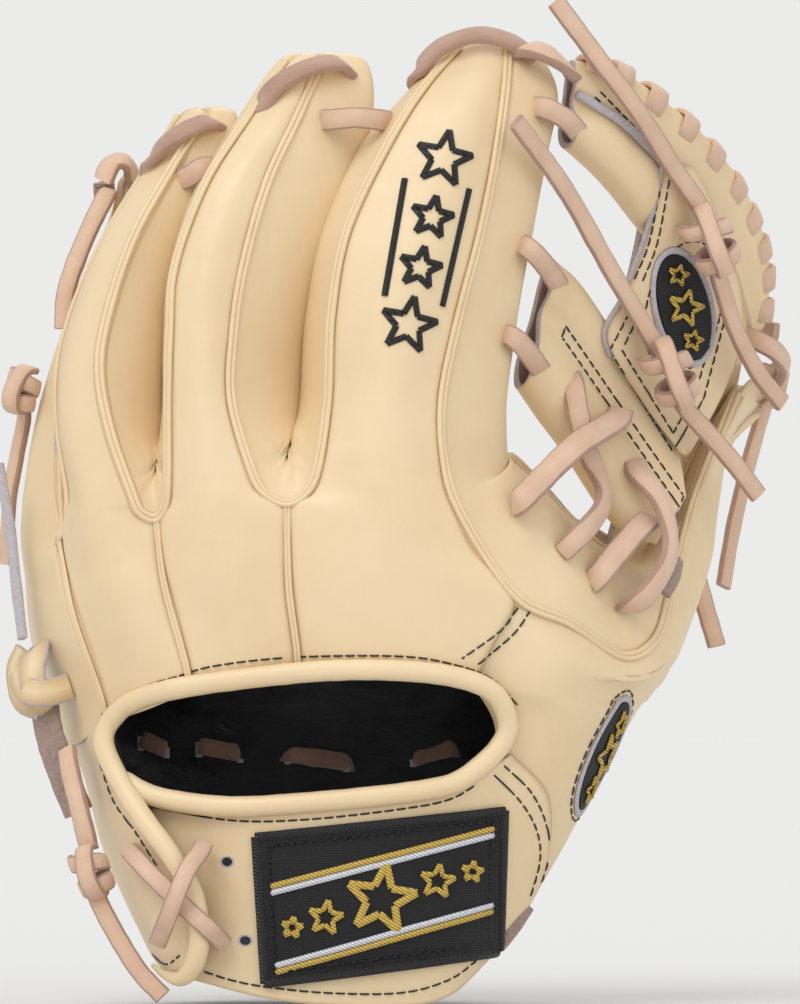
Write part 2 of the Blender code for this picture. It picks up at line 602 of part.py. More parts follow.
def palm_shell_rows():
    """The palm's grid, with each finger's front drawn in from its seams."""
    rows = palm_rows()
    for j, row in enumerate(rows):
        for k in range(0, len(row), 3):
            right, left = row[k], row[k + 2]
            way = (left - right).normalized()
            seam = SEAM if k < 6 else SHARP_SEAM
            if j >= 10 or k == 0:
                row[k] = right + way * (0.9 if j < 9 else seam)
            if j >= 10 or k == 9:
                row[k + 2] = left - way * seam
    return inset(rows, 0.0, 0.0, high=1.0)


def build_shell():
    strips = (("back_index", INDEX, INDEX_HAND), ("back_middle", MIDDLE, MIDDLE_HAND),
              ("back_ring", RING, RING_HAND), ("back_pinky", PINKY, PINKY_HAND))
    for name, finger, hand in strips:
        wraps = len(hand) > 3
        rows = grid(strip(finger, hand), 8 if wraps else 4, 18)
        seam = SHARP_SEAM if wraps else SEAM
        sheet(name, inset(rows, seam, seam, low=3.8, high=1.0, flat_rows=4), LEATHER)
    for name, net, seam in (("gusset_index_middle", INDEX_MIDDLE, SEAM),
                            ("gusset_middle_ring", MIDDLE_RING, SEAM),
                            ("gusset_ring_pinky", RING_PINKY, SHARP_SEAM)):
        sheet(name, inset(grid(net, 4, 28), seam, seam, low=3.0, high=3.0), LEATHER)
    index_side = [line_of(INDEX, place)[::-1] + turn
                  for place, turn in zip((RIGHT_WELT, RIGHT_SIDE, RIGHT_PALM), CROTCH_INDEX)]
    sheet("gusset_index", inset(grid(index_side[::-1], 4, 18), low=1.0, high=0.4), LEATHER)
    sheet("gusset_thumb", inset(grid(CROTCH_THUMB[::-1], 4, 14), SHARP_SEAM, SHARP_SEAM, 0.4, 3.4),
          LEATHER)
    sheet("thumb_back", inset(grid(THUMB_BACK, 6, 22), right=SHARP_SEAM + 0.6, high=4.4), LEATHER)
    sheet("thumb_front", inset(grid(THUMB_FRONT, 5, 16), SHARP_SEAM + 0.6, 0.9, high=6.4), LEATHER)
    sheet("palm_shell", palm_shell_rows(), LEATHER, holes=slit)


def build_inside():
    palm = hand_rows()
    felt = lifted(inset(palm, 6, 7, 4, 6), -(LEATHER + 0.9))
    sheet("palm_felt", felt, FELT, "felt")
    lining = lifted(inset(palm, 7, 7.5, 3, 3), -(LEATHER + FELT + 1.5))
    sheet("palm_lining", lining, LINING, "lining")
    depth = LEATHER + FELT + LINING + 2.1 + LACE_RADIUS
    row = lifted(palm, -depth)[4]
    tube("heel_lace", row[2:-2], spacing=8)


def build_wrist():
    strap = grid(STRAP, 12, 4)
    sheet("wrist_strap", inset(strap, high=3.8), LEATHER)
    sheet("strap_lining", lifted(inset(grid(STRAP, 10, 3), 4, 4, 3, 6), -(LEATHER + 0.5)), LINING,
          "lining")
    sheet("strap_patch", lifted(grid(STRAP, 8, 3, (0.28, 0.84), (0.16, 0.84)), 1.6), 1.2, "patch")
    flap = grid(FLAP, 6, 10)
    sheet("pinky_flap", inset(flap, left=SHARP_SEAM, right=2.6, high=1.5), LEATHER)
    tube("window_binding", WINDOW_ROLL, PIPING_RADIUS, "leather", 8)
    tube("flap_binding", FLAP_ROLL, PIPING_RADIUS - 0.6, "leather", 8)
    disc("thumb_patch", THUMB_BACK, (0.45, 0.17), (0.25, 0.055), 1.6, 1.2)


def build_laces():
    for name, points in {**TAILS, **LACES}.items():
        tube(name, points)
    for name, (centre, size) in KNOTS.items():
        knot(name, centre, size)


def hang_thumb_half():
    """Parents the thumb half's pieces to an empty on the fold, its Z along the fold's line."""
    fold = bpy.data.objects.new("thumb_fold", None)
    bpy.data.collections[OBJECT_NAME].objects.link(fold)
    turn = (FOLD_HIGH - FOLD_LOW).to_track_quat("Z", "Y").to_matrix().to_4x4()
    fold.matrix_world = Matrix.Translation(FOLD_LOW.lerp(FOLD_HIGH, 0.5) * MM) @ turn
    for name in THUMB_HALF:
        piece = bpy.data.objects[name]
        piece.parent = fold
        piece.matrix_parent_inverse = fold.matrix_world.inverted()


def main():
    for obj in list(bpy.data.objects):
        bpy.data.objects.remove(obj)
    for group in (OBJECT_NAME, "cutters"):
        collection = bpy.data.collections.new(group)
        bpy.context.scene.collection.children.link(collection)
    build_shell()
    build_inside()
    build_wrist()
    build_web()
    build_laces()
    hang_thumb_half()


main()
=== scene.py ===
"""The looks of an infield baseball glove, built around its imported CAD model.

Lengths here are millimetres unless a name ends in _M.  -Y is the back of the hand, +Z the
fingertips, +X the thumb.
"""
import math

import bpy
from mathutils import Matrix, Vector, noise
from mathutils.bvhtree import BVHTree


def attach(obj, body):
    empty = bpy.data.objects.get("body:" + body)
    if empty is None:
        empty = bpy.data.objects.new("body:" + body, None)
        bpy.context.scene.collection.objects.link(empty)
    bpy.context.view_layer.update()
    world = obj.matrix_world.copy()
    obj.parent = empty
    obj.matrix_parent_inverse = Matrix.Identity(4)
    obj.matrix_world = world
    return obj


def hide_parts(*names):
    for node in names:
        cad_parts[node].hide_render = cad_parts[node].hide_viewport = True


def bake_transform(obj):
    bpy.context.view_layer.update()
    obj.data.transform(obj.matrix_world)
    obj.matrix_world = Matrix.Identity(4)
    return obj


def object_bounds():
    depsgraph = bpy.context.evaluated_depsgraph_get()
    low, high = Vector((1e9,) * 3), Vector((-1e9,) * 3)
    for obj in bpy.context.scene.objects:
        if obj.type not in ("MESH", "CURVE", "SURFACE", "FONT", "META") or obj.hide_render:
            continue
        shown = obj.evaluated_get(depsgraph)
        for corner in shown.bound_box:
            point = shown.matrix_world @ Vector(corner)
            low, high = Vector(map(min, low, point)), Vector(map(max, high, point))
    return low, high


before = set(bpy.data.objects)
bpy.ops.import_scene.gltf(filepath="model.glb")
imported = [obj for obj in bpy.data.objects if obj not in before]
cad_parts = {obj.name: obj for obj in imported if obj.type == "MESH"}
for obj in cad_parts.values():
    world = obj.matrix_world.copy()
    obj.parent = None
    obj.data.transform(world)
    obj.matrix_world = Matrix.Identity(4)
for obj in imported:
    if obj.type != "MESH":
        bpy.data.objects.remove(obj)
cad_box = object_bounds()

MM = 0.001
LACE_WIDTH = 6.0
LACE_THICK = 2.4
WELT_RADIUS = 1.15
ROOT, THUMB = "root", "thumb"
SEAM_SHADE_REACH = 2.2          # painted shade: a panel's colour darkens this near its seams
TIP_SHARE, TIP_RISE = 0.17, 2.9      # how a finger's lines close over its tip
THUMB_TIP_SHARE, THUMB_TIP_RISE = 0.35, 3.2
PARTING_LEVEL = 5.0       # the level of the fingers' tables at which they part
FAR = 300                 # rays at the glove start this far out
LACE_GAP = 1.6            # from the leather to the middle of a lace that lies on it
LACE_SHARP = 50           # degrees: a lace's corners stay sharp
PALM_CUT = 4.0 / 12.0     # the share of the palm's lines below the fingers
FELT_DEPTH = 2.3
TAIL_WIDTH, TAIL_THICK = 5.6, 2.2
BAR_THICK = 2.0
THUMB_VIEW = 60           # degrees: the thumb's oval patch is drawn from a view turned by this
STITCH_STEP = 0.45
JUMP = 3                  # a longer step between a stitch's places has left the leather
WELT_STEP = 1.6
TAPE_WIDTH, TAPE_THICK, TAPE_DEPTH = 4.2, 1.2, 1.5      # the strip under a double piping
PIPE_SHARE, PIPE_SHIFT = 0.72, 0.62     # a piping's radius and place, as shares of a welt's
ROLL_RADIUS, ROLL_FLAT, ROLL_THINNING = 3.15, 0.82, 16
WHIP_WIDTH, WHIP_THICK = 7.4, 1.7
WHIP_STEPS = 14           # places in each turn of the whipped lace
FRONT_START = 0.985       # the finger fronts start this far up the palm's cut
FLOOR_GAP_M = 0.0008
FLOOR_SIZE_M = 9
CAMERA_LENS = 478.0
CAMERA_PLACE_M = (0.0285, -4.0, 0.0699)
LONGEST_PATCH_EDGE = 9    # a longer edge has jumped to leather behind, so its face is left out
FOLD_START_M = (0.062, 0.0, 0.0)     # the leather turns from the finger half to the thumb half
FOLD_END_M = (0.112, 0.0, 0.0)
BACK = Vector((0, -1, 0))
INWARD = Vector((0, 1, 0))
UP = Vector((0, 0, 1))


# ---------------------------------------------------------------- materials

def principled(name, colour, roughness, **values):
    """A new material, its node tree and its shader.  Values' names have _ for a space."""
    made = bpy.data.materials.new(name)
    made.use_nodes = True
    shader = made.node_tree.nodes["Principled BSDF"]
    shader.inputs["Base Color"].default_value = (*colour, 1)
    shader.inputs["Roughness"].default_value = roughness
    for key, value in values.items():
        shader.inputs[key.replace("_", " ")].default_value = value
    made.diffuse_color = (*colour, 1)
    return made, made.node_tree, shader


def node(tree, kind, values=None, **settings):
    made = tree.nodes.new(kind)
    for key, value in settings.items():
        setattr(made, key, value)
    for key, value in (values or {}).items():
        made.inputs[key].default_value = value
    return made


def object_place(tree):
    return node(tree, "ShaderNodeTexCoord").outputs["Object"]


def noise_of(tree, scale, detail=3.0, rough=0.55, stretch=None, distortion=0.0):
    place = object_place(tree)
    if stretch:
        mapping = node(tree, "ShaderNodeMapping", {"Scale": stretch})
        tree.links.new(place, mapping.inputs["Vector"])
        place = mapping.outputs["Vector"]
    made = node(tree, "ShaderNodeTexNoise",
                {"Scale": scale, "Detail": detail, "Roughness": rough, "Distortion": distortion})
    tree.links.new(place, made.inputs["Vector"])
    return made.outputs["Fac"]


def ramp(tree, fac, low, high, start=0.3, end=0.7):
    made = node(tree, "ShaderNodeValToRGB")
    made.color_ramp.elements[0].position = start
    made.color_ramp.elements[1].position = end
    made.color_ramp.elements[0].color = (*low, 1)
    made.color_ramp.elements[1].color = (*high, 1)
    tree.links.new(fac, made.inputs["Fac"])
    return made.outputs["Color"]


def mix(tree, fac, base, colour):
    """Lays a colour over what comes from base, as much as fac says."""
    made = node(tree, "ShaderNodeMix", data_type="RGBA")
    tree.links.new(fac, made.inputs[0])
    tree.links.new(base, made.inputs[6])
    made.inputs[7].default_value = (*colour, 1)
    return made.outputs[2]


def bumps(tree, shader, layers):
    """Chains bump nodes: each layer is a height output, its strength and its depth in metres."""
    last = None
    for height, strength, depth in layers:
        made = node(tree, "ShaderNodeBump", {"Strength": strength, "Distance": depth})
        tree.links.new(height, made.inputs["Height"])
        if last:
            tree.links.new(last, made.inputs["Normal"])
        last = made.outputs["Normal"]
    tree.links.new(last, shader.inputs["Normal"])


def scaled(tree, value, low, high):
    made = node(tree, "ShaderNodeMapRange", {"To Min": low, "To Max": high})
    tree.links.new(value, made.inputs["Value"])
    return made.outputs["Result"]


def seam_share(tree, most):
    """How much of the seam colour shows: the meshes hold 0 to 1 as their seam attribute."""
    edge = node(tree, "ShaderNodeAttribute", attribute_name="seam").outputs["Fac"]
    return scaled(tree, edge, 0.0, most)


def leather_material(name, light, dark, seam):
    """Smooth cowhide: cloudy tone, fine pores, soft drawn wrinkles, painted shade darkening it in
    its seams.
    """
    made, tree, shader = principled(name, light, 0.42, Coat_Weight=0.08, Coat_Roughness=0.35)
    tone = ramp(tree, noise_of(tree, 22, 4, 0.6), dark, light, 0.30, 0.62)
    tone = mix(tree, scaled(tree, noise_of(tree, 260, 3, 0.7), 0.0, 0.16), tone, dark)
    # Painted shade: near seams the colour is mixed towards the darker seam colour.
    tree.links.new(mix(tree, seam_share(tree, 0.62), tone, seam), shader.inputs["Base Color"])
    tree.links.new(scaled(tree, noise_of(tree, 90, 3), 0.42 - 0.07, 0.42 + 0.10),
        shader.inputs["Roughness"])
    pores = node(tree, "ShaderNodeTexVoronoi", {"Scale": 1150.0, "Randomness": 1.0},
        feature="DISTANCE_TO_EDGE")
    tree.links.new(object_place(tree), pores.inputs["Vector"])
    bumps(tree, shader, [(pores.outputs["Distance"], 0.10, 0.00025),
        (noise_of(tree, 1500, 3), 0.10, 0.00025), (noise_of(tree, 130, 4, 0.6, (1, 1, 0.35), 0.6),
        0.10, 0.0016)])
    return made


def lace_material(name, light, dark, fibre, roughness):
    """Rawhide: pale grain face or brushed fibrous flesh.  Fibre runs from 0 to 1."""
    made, tree, shader = principled(name, light, roughness, Sheen_Weight=fibre * 0.35,
        Sheen_Roughness=0.6)
    tone = ramp(tree, noise_of(tree, 75, 4, 0.6), dark, light, 0.33, 0.66)
    fuzz = noise_of(tree, 1300, 4, 0.75)
    tone = mix(tree, scaled(tree, fuzz, 0.0, 0.25 + 0.5 * fibre), tone, dark)
    tree.links.new(mix(tree, seam_share(tree, 0.5), tone, dark), shader.inputs["Base Color"])
    bumps(tree, shader, [(fuzz, 0.15 + 0.55 * fibre, 0.0005), (noise_of(tree, 420, 4, 0.7),
        0.15 + 0.3 * fibre, 0.0007)])
    return made


def suede_material(name, light, dark):
    made, tree, shader = principled(name, light, 0.92, Sheen_Weight=0.3, Sheen_Roughness=0.5)
    tree.links.new(ramp(tree, noise_of(tree, 900, 5, 0.8), dark, light, 0.36, 0.64),
        shader.inputs["Base Color"])
    bumps(tree, shader, [(noise_of(tree, 1500, 4, 0.8), 0.6, 0.0005)])
    return made


def lining_material():
    """Black glove lining, soft, with creases drawn over it."""
    made, tree, shader = principled("lining_black", (0.012, 0.012, 0.014), 0.48)
    tone = ramp(tree, noise_of(tree, 60, 4), (0.006, 0.006, 0.007), (0.022, 0.022, 0.025))
    tree.links.new(tone, shader.inputs["Base Color"])
    bumps(tree, shader, [(noise_of(tree, 900, 3), 0.25, 0.0004), (noise_of(tree, 70, 5, 0.65,
        (0.5, 1, 1.4), 1.2), 0.55, 0.004)])
    return made


def thread_material(name, colour, dark):
    made, tree, shader = principled(name, colour, 0.5, Sheen_Weight=0.2)
    tree.links.new(ramp(tree, noise_of(tree, 1600, 3), dark, colour), shader.inputs["Base Color"])
    bumps(tree, shader, [(noise_of(tree, 2600, 2), 0.5, 0.0003)])
    return made


def satin_material(name, colour, dark):
    """Embroidery: close parallel threads, which shine across their run."""
    made, tree, shader = principled(name, colour, 0.36)
    turn = node(tree, "ShaderNodeVectorMath", {1: (0.6, 0.0, 1.0)}, operation="MULTIPLY")
    tree.links.new(object_place(tree), turn.inputs[0])
    wave = node(tree, "ShaderNodeTexWave", {"Scale": 620.0, "Distortion": 1.2, "Detail": 1.0,
        "Detail Scale": 2.0}, bands_direction="DIAGONAL")
    tree.links.new(turn.outputs[0], wave.inputs["Vector"])
    tree.links.new(ramp(tree, wave.outputs["Fac"], dark, colour, 0.1, 0.7),
        shader.inputs["Base Color"])
    bumps(tree, shader, [(wave.outputs["Fac"], 0.7, 0.0004)])
    return made


def cloth_material():
    """The patches' black twill ground."""
    made, tree, shader = principled("patch_twill", (0.008, 0.008, 0.011), 0.75, Sheen_Weight=0.05)
    place = object_place(tree)
    woven = node(tree, "ShaderNodeMath", operation="MULTIPLY")
    for k, direction in enumerate("XZ"):
        wave = node(tree, "ShaderNodeTexWave", {"Scale": 420.0, "Distortion": 0.6},
                    bands_direction=direction)
        tree.links.new(place, wave.inputs["Vector"])
        tree.links.new(wave.outputs["Fac"], woven.inputs[k])
    tree.links.new(ramp(tree, woven.outputs[0], (0.003, 0.003, 0.004), (0.013, 0.013, 0.017)),
        shader.inputs["Base Color"])
    bumps(tree, shader, [(woven.outputs[0], 0.6, 0.0004)])
    return made


# Each leather's third colour is the painted shade laid into its seams.
CREAM = leather_material("leather_cream", (0.83, 0.655, 0.415), (0.77, 0.585, 0.35),
    (0.50, 0.315, 0.135))
WELT = leather_material("leather_welt", (0.84, 0.665, 0.43), (0.79, 0.60, 0.36),
    (0.60, 0.40, 0.19))
LACE = lace_material("lace_grain", (0.80, 0.575, 0.42), (0.67, 0.44, 0.305), 0.55, 0.62)
LACE_FLESH = lace_material("lace_flesh", (0.60, 0.385, 0.29), (0.42, 0.24, 0.165), 1.0, 0.88)
LACE_DARK = lace_material("lace_heel", (0.47, 0.29, 0.21), (0.31, 0.17, 0.12), 1.0, 0.9)
SUEDE = suede_material("suede_edge", (0.60, 0.555, 0.59), (0.43, 0.39, 0.42))
TAN_SUEDE = suede_material("suede_tan", (0.43, 0.31, 0.26), (0.27, 0.18, 0.15))
FLESH = suede_material("leather_flesh", (0.66, 0.49, 0.335), (0.52, 0.37, 0.24))
FELT = suede_material("felt_pad", (0.70, 0.68, 0.62), (0.52, 0.50, 0.45))
LINING = lining_material()
THREAD = thread_material("thread_black", (0.012, 0.011, 0.011), (0.004, 0.004, 0.004))
TWILL = cloth_material()
BORDER = satin_material("thread_border", (0.009, 0.009, 0.011), (0.004, 0.004, 0.005))
GOLD = satin_material("thread_gold", (0.74, 0.52, 0.10), (0.36, 0.22, 0.03))
WHITE = satin_material("thread_white", (0.82, 0.82, 0.86), (0.50, 0.50, 0.56))
BLACK_SATIN = satin_material("thread_black_satin", (0.016, 0.015, 0.016), (0.003, 0.003, 0.003))
RAWHIDE = [LACE, LACE_FLESH]


# ---------------------------------------------------------------- splines and grids

def spline(points, t):
    """Point at t, from 0 to 1, on the smooth curve through the points."""
    last = len(points) - 1
    place = min(max(t, 0.0), 1.0) * last
    k = min(int(place), last - 1)
    f = place - k
    p1 = Vector(points[k])
    p2 = Vector(points[k + 1])
    p0 = Vector(points[k - 1]) if k > 0 else p1 * 2 - p2
    p3 = Vector(points[k + 2]) if k + 2 <= last else p2 * 2 - p1
    m1 = (p2 - p0) * 0.5
    m2 = (p3 - p1) * 0.5
    f2 = f * f
    f3 = f2 * f
    return (p1 * (2 * f3 - 3 * f2 + 1) + m1 * (f3 - 2 * f2 + f)
            + p2 * (3 * f2 - 2 * f3) + m2 * (f3 - f2))


def even(count):
    return [k / count for k in range(count + 1)]


def edged(count):
    """Steps from 0 to 1 that crowd towards both ends."""
    return [0.5 * k + 0.5 * (0.5 - 0.5 * math.cos(math.pi * k)) for k in even(count)]


def grid(net, across, along):
    """Rows of points: across and along are lists of steps from 0 to 1."""
    rows = []
    for t in along:
        line = [spline(curve, t) for curve in net]
        rows.append([spline(line, s) for s in across])
    return rows


def near(items, k, step):
    """The item a step from k, or the last one on that side."""
    return items[min(max(k + step, 0), len(items) - 1)]


def normals(rows):
    out = []
    for j, row in enumerate(rows):
        line = []
        for i in range(len(row)):
            across = near(row, i, 1) - near(row, i, -1)
            along = near(rows, j, 1)[i] - near(rows, j, -1)[i]
            line.append(across.cross(along).normalized())
        out.append(line)
    return out


def heading(points, k):
    """The unit way along a line of points at one of them."""
    return (near(points, k, 1) - near(points, k, -1)).normalized()


def square_to(hint, along):
    """The part of a hint that lies square to a unit way, as a unit vector."""
    return (hint - along * hint.dot(along)).normalized()


def runs(rows):
    """How far each point lies from its row's first point, along the row."""
    out = []
    for row in rows:
        line = [0.0]
        for a, b in zip(row, row[1:]):
            line.append(line[-1] + (b - a).length)
        out.append(line)
    return out


def grid_faces(rows, count, closed=False):
    faces = []
    for j in range(rows - 1):
        for i in range(count if closed else count - 1):
            n = (i + 1) % count
            faces.append((j * count + i, j * count + n, (j + 1) * count + n, (j + 1) * count + i))
    return faces


def lifted(rows, distance):
    ups = normals(rows)
    return [[p + n * distance for p, n in zip(row, up)] for row, up in zip(rows, ups)]


def smooth(x):
    x = min(max(x, 0.0), 1.0)
    return x * x * (3 - 2 * x)


def route(points, spacing):
    """Evenly spaced points on the smooth curve through a route's points."""
    fine = [spline(points, k) for k in even(24 * len(points))]
    lengths = runs([fine])[0]
    count = max(2, round(lengths[-1] / spacing))
    out = []
    k = 0
    for n in range(count + 1):
        want = lengths[-1] * n / count
        while k < len(fine) - 2 and lengths[k + 1] < want:
            k += 1
        step = lengths[k + 1] - lengths[k]
        out.append(fine[k].lerp(fine[k + 1], (want - lengths[k]) / step if step else 0.0))
    return out


# ---------------------------------------------------------------- mesh building

class Build:
    """Gathers faces, in millimetres, into one mesh object."""

    def __init__(self):
        self.verts = []
        self.faces = []
        self.slots = []
        self.seam = []

    def add(self, verts, faces, slots=0, seam=None):
        base = len(self.verts)
        self.verts += verts
        self.faces += [tuple(base + k for k in face) for face in faces]
        self.slots += slots if isinstance(slots, list) else [slots] * len(faces)
        self.seam += seam or [0.0] * len(verts)

    def rows(self, rows, slots=0, seam=None, closed=False):
        self.add([p for row in rows for p in row], grid_faces(len(rows), len(rows[0]), closed),
                 slots, seam)

    def capped(self, rows, slots, seam, cap):
        """A tube: closed rows with a face over each end."""
        self.rows(rows, slots, seam, closed=True)
        sides = len(rows[0])
        last = len(self.verts) - sides
        first = len(self.verts) - len(rows) * sides
        self.faces += [tuple(first + k for k in reversed(range(sides))),
            tuple(last + k for k in range(sides))]
        self.slots += [cap, cap]

    def made(self, name, materials, sharp=None):
        """The object.  Edges that turn by more than sharp degrees stay sharp."""
        mesh = bpy.data.meshes.new(name)
        mesh.from_pydata([p * MM for p in self.verts], [], self.faces)
        for material in materials:
            mesh.materials.append(material)
        mesh.polygons.foreach_set("material_index", self.slots)
        attribute = mesh.attributes.new("seam", "FLOAT", "POINT")
        attribute.data.foreach_set("value", self.seam)
        mesh.shade_smooth()
        if sharp:
            mesh.set_sharp_from_angle(angle=math.radians(sharp))
        obj = bpy.data.objects.new(name, mesh)
        bpy.context.scene.collection.objects.link(obj)
        return obj

    def piece(self, name, materials, slot, *nodes, sharp=None):
        return settle(self.made(name, materials, sharp), slot, *nodes)


def settle(obj, slot, *nodes):
    """The piece rides where it lies: on the fingers or on the thumb; a piece between them is left
    unattached, with its place baked into its mesh.
    """
    xs = [v.co.x for v in obj.data.vertices]
    if max(xs) <= FOLD_START_M[0]:
        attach(obj, ROOT)
    elif min(xs) >= FOLD_END_M[0]:
        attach(obj, THUMB)
    else:
        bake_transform(obj)
    if nodes:
        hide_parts(*nodes)
    return obj


SKINS = []


def thicken(obj, depth, materials=1):
    """Gives a sheet its depth inwards, with further materials for its inner side and its rim."""
    thick = obj.modifiers.new("thickness", "SOLIDIFY")
    thick.thickness = depth * MM
    thick.offset = -1.0
    thick.material_offset = min(1, materials - 1)
    thick.material_offset_rim = min(2, materials - 1)
    return obj


def panel(name, rows, nodes=(), thickness=1.8, sides=(1.4, 1.4), ends=(0.0, 0.0), reach=3.6,
          slot="shell_leather", materials=None, skin=True, wrinkle=0.25, shape=None):
    """A sewn leather panel.  Its sides dip into their seams by these depths, within a reach."""
    materials = materials or [CREAM, LINING, SUEDE]
    ups = normals(rows)
    columns = list(zip(*rows))
    left, right = runs(rows), runs([row[::-1] for row in rows])
    low, high = runs(columns), runs([column[::-1] for column in columns])
    out = []
    seam = []
    for j, row in enumerate(rows):
        line = []
        for i, p in enumerate(row):
            dip = 0.0
            seam_shade = 0.0
            for gap, depth in ((left[j][i], sides[0]), (right[j][-1 - i], sides[1]),
                               (low[i][j], ends[0]), (high[i][-1 - j], ends[1])):
                if depth:
                    close = max(0.0, 1 - gap / reach)
                    dip += depth * close * close
                    # painted shade: this grows towards 1 near each seam and darkens the colour
                    # there
                    seam_shade = max(seam_shade, 1 - gap / SEAM_SHADE_REACH)
            if wrinkle:
                dip -= wrinkle * noise.noise(p * 0.045) + 0.3 * wrinkle * noise.noise(p * 0.16)
            if shape:
                dip -= shape(p)
            line.append(p - ups[j][i] * dip)
            seam.append(seam_shade)
        out.append(line)
    build = Build()
    build.rows(out, 0, seam)
    if skin:
        SKINS.append((build.verts, build.faces))
    return settle(thicken(build.made(name, materials), thickness, len(materials)), slot, *nodes)


def tube_rows(points, radius, sides, flat=1.0, hint=BACK, wobble=0.0):
    """A round or oval tube's rows along points; flat is its depth over its width."""
    rows = []
    for k, p in enumerate(points):
        along = heading(points, k)
        out = square_to(hint, along)
        side = along.cross(out)
        here = radius * (1 + wobble * noise.noise(p * 0.25))
        row = []
        for n in range(sides):
            angle = 2 * math.pi * n / sides
            row.append(p + side * here * math.cos(angle) + out * here * flat * math.sin(angle))
        rows.append(row)
    return rows


def add_tube(build, points, radius, sides, hint, wobble=0.0, seam=0.0):
    rows = tube_rows(points, radius, sides, 1.0, hint, wobble)
    build.capped(rows, 0, [seam] * (len(rows) * sides), 0)


def add_lace(build, points, hints=BACK, width=LACE_WIDTH, thick=LACE_THICK, spacing=1.5,
             ragged=0.06, slots=(0, 1), flip=False):
    """A flat lace.  Its grain face looks along the hints, or away if flipped."""
    places = route(points, spacing)
    count = len(places)
    if isinstance(hints, Vector):
        hints = [hints, hints]
    a, b, r = width / 2, thick / 2, 0.5
    ring = [(a, -b + r), (a, b - r), (a - r, b), (0, b + 0.18), (-a + r, b), (-a, b - r),
            (-a, -b + r), (-a + r, -b), (0, -b - 0.1), (a - r, -b)]
    rows = []
    for k, p in enumerate(places):
        along = heading(places, k)
        out = square_to(spline(hints, k / (count - 1)), along)
        side = along.cross(out)
        lean = 0.09 * noise.noise(p * 0.12 + Vector((3, 0, 0)))
        out, side = (out + side * lean).normalized(), (side - out * lean).normalized()
        wide = 1 + ragged * noise.noise(p * 0.35)
        rows.append([p + side * u * wide + out * v for u, v in ring])
    grain, flesh = slots
    face = (7, 8) if flip else (2, 3)
    round_slots = [grain if n in face else flesh for n in range(len(ring))]
    # The rims on the out side take the darker seam colour; on the welts' leather tape this is
    # painted shade beside the piping.
    round_seam = [0.9 if n in (1, 2, 4, 5) else 0.0 for n in range(len(ring))]
    build.capped(rows, round_slots * (count - 1), round_seam * count, flesh)
    return places


# ---------------------------------------------------------------- the fingers
# Each finger is a row of levels.  A level is its height, then (x, y) of: the left welt, the
# crown, the right welt, the right side, the right palm seam, the left palm seam, the left side.

INDEX = [
    (80, (4, -47), (24, -53), (42, -45), (60, -24), (58, -4), (4, -2), (-1, -22)),
    (100, (7, -43), (25, -50), (41, -42), (59.5, -22), (57, -5), (5, -4), (0, -20)),
    (125, (8, -40), (28, -47), (46, -38), (63, -20), (60, -6), (8, -5), (2, -20)),
    (150, (12.5, -36), (35, -43), (52.5, -34), (67.5, -18), (65, -5), (15, -4), (7.5, -19)),
    (175, (24, -31), (44, -36), (57.5, -29), (72.5, -15), (69, -3), (26, -2), (18, -16)),
    (193, (35, -22), (50, -26), (60, -20), (75, -9), (72, 0), (36, 0), (31, -10)),
    (206, (46, -8), (53, -10), (61, -8), (68, -4), (66, 1), (46, 1), (43, -3)),
]
MIDDLE = [
    (78, (-40.5, -42), (-28, -49), (-15, -47), (-4.5, -22), (-4, -2), (-38, 0), (-41.5, -20)),
    (100, (-40.5, -41), (-30, -46), (-21.5, -43), (-3.5, -21), (-4, -4), (-39, 0), (-41, -19)),
    (120, (-40, -39), (-30, -44), (-21, -40), (-2, -20), (-3, -5), (-38, 0), (-40.5, -18)),
    (140, (-38.5, -36), (-28, -41), (-18, -37), (2, -19), (1, -4), (-34, 0), (-38.5, -17)),
    (165, (-29.5, -30), (-20, -34), (-11, -31), (11.5, -16), (8, -3), (-25, 2), (-30, -14)),
    (185, (-17, -20), (-8, -24), (-2, -22), (19.5, -11), (16, -1), (-15, 3), (-20, -8)),
    (202, (-6, -8), (-1, -10), (5, -9), (18, -5), (15, 1), (-4, 2), (-8, -3)),
]
RING = [
    (72, (-71, -14), (-66, -31), (-51, -39), (-43.5, -20), (-43, 2), (-62, 20), (-69, 2)),
    (92, (-74, -8), (-71, -24), (-58, -34), (-44, -18), (-45, 4), (-63, 22), (-70, 6)),
    (111, (-74, -4), (-71.5, -19), (-61, -30), (-44, -16), (-46, 4), (-63, 22), (-69, 8)),
    (130, (-69, 0), (-67, -15), (-57.5, -27), (-42, -15), (-44, 4), (-60, 21), (-65, 9)),
    (150, (-60, 4), (-59, -11), (-50.5, -24), (-36, -13), (-37, 4), (-54, 19), (-57, 11)),
    (170, (-48, 7), (-47, -7), (-39.5, -17), (-24.5, -10), (-27, 4), (-45, 16), (-47, 10)),
    (186, (-38, 4), (-35, -3), (-30, -6), (-21, -3), (-22, 4), (-36, 10), (-38, 7)),
]
PINKY = [
    (60, (-84, 28), (-85, 11), (-72, -5), (-67, 10), (-60, 26), (-74, 48), (-81, 40)),
    (80, (-82, 32), (-83.5, 18), (-73, 3), (-69, 16), (-60, 30), (-73, 49), (-79, 42)),
    (100, (-78, 34), (-80, 21), (-72.5, 7), (-68, 18), (-59, 32), (-70, 49), (-75, 43)),
    (120, (-72, 34), (-74, 23), (-68, 11), (-64, 19), (-55, 31), (-65, 47), (-69, 42)),
    (138, (-66, 33), (-67.5, 23), (-63.5, 13.5), (-59, 20), (-51, 30), (-60, 43), (-63, 39)),
    (154, (-59, 31), (-60, 24), (-58, 16), (-53, 20), (-48, 28), (-55, 38), (-57, 35)),
    (167, (-55, 28), (-56, 24), (-56, 20), (-51, 22), (-49, 26), (-53, 32), (-54, 30)),
]
LEFT_WELT, CROWN, RIGHT_WELT, RIGHT_SIDE, RIGHT_PALM, LEFT_PALM, LEFT_SIDE = range(1, 8)


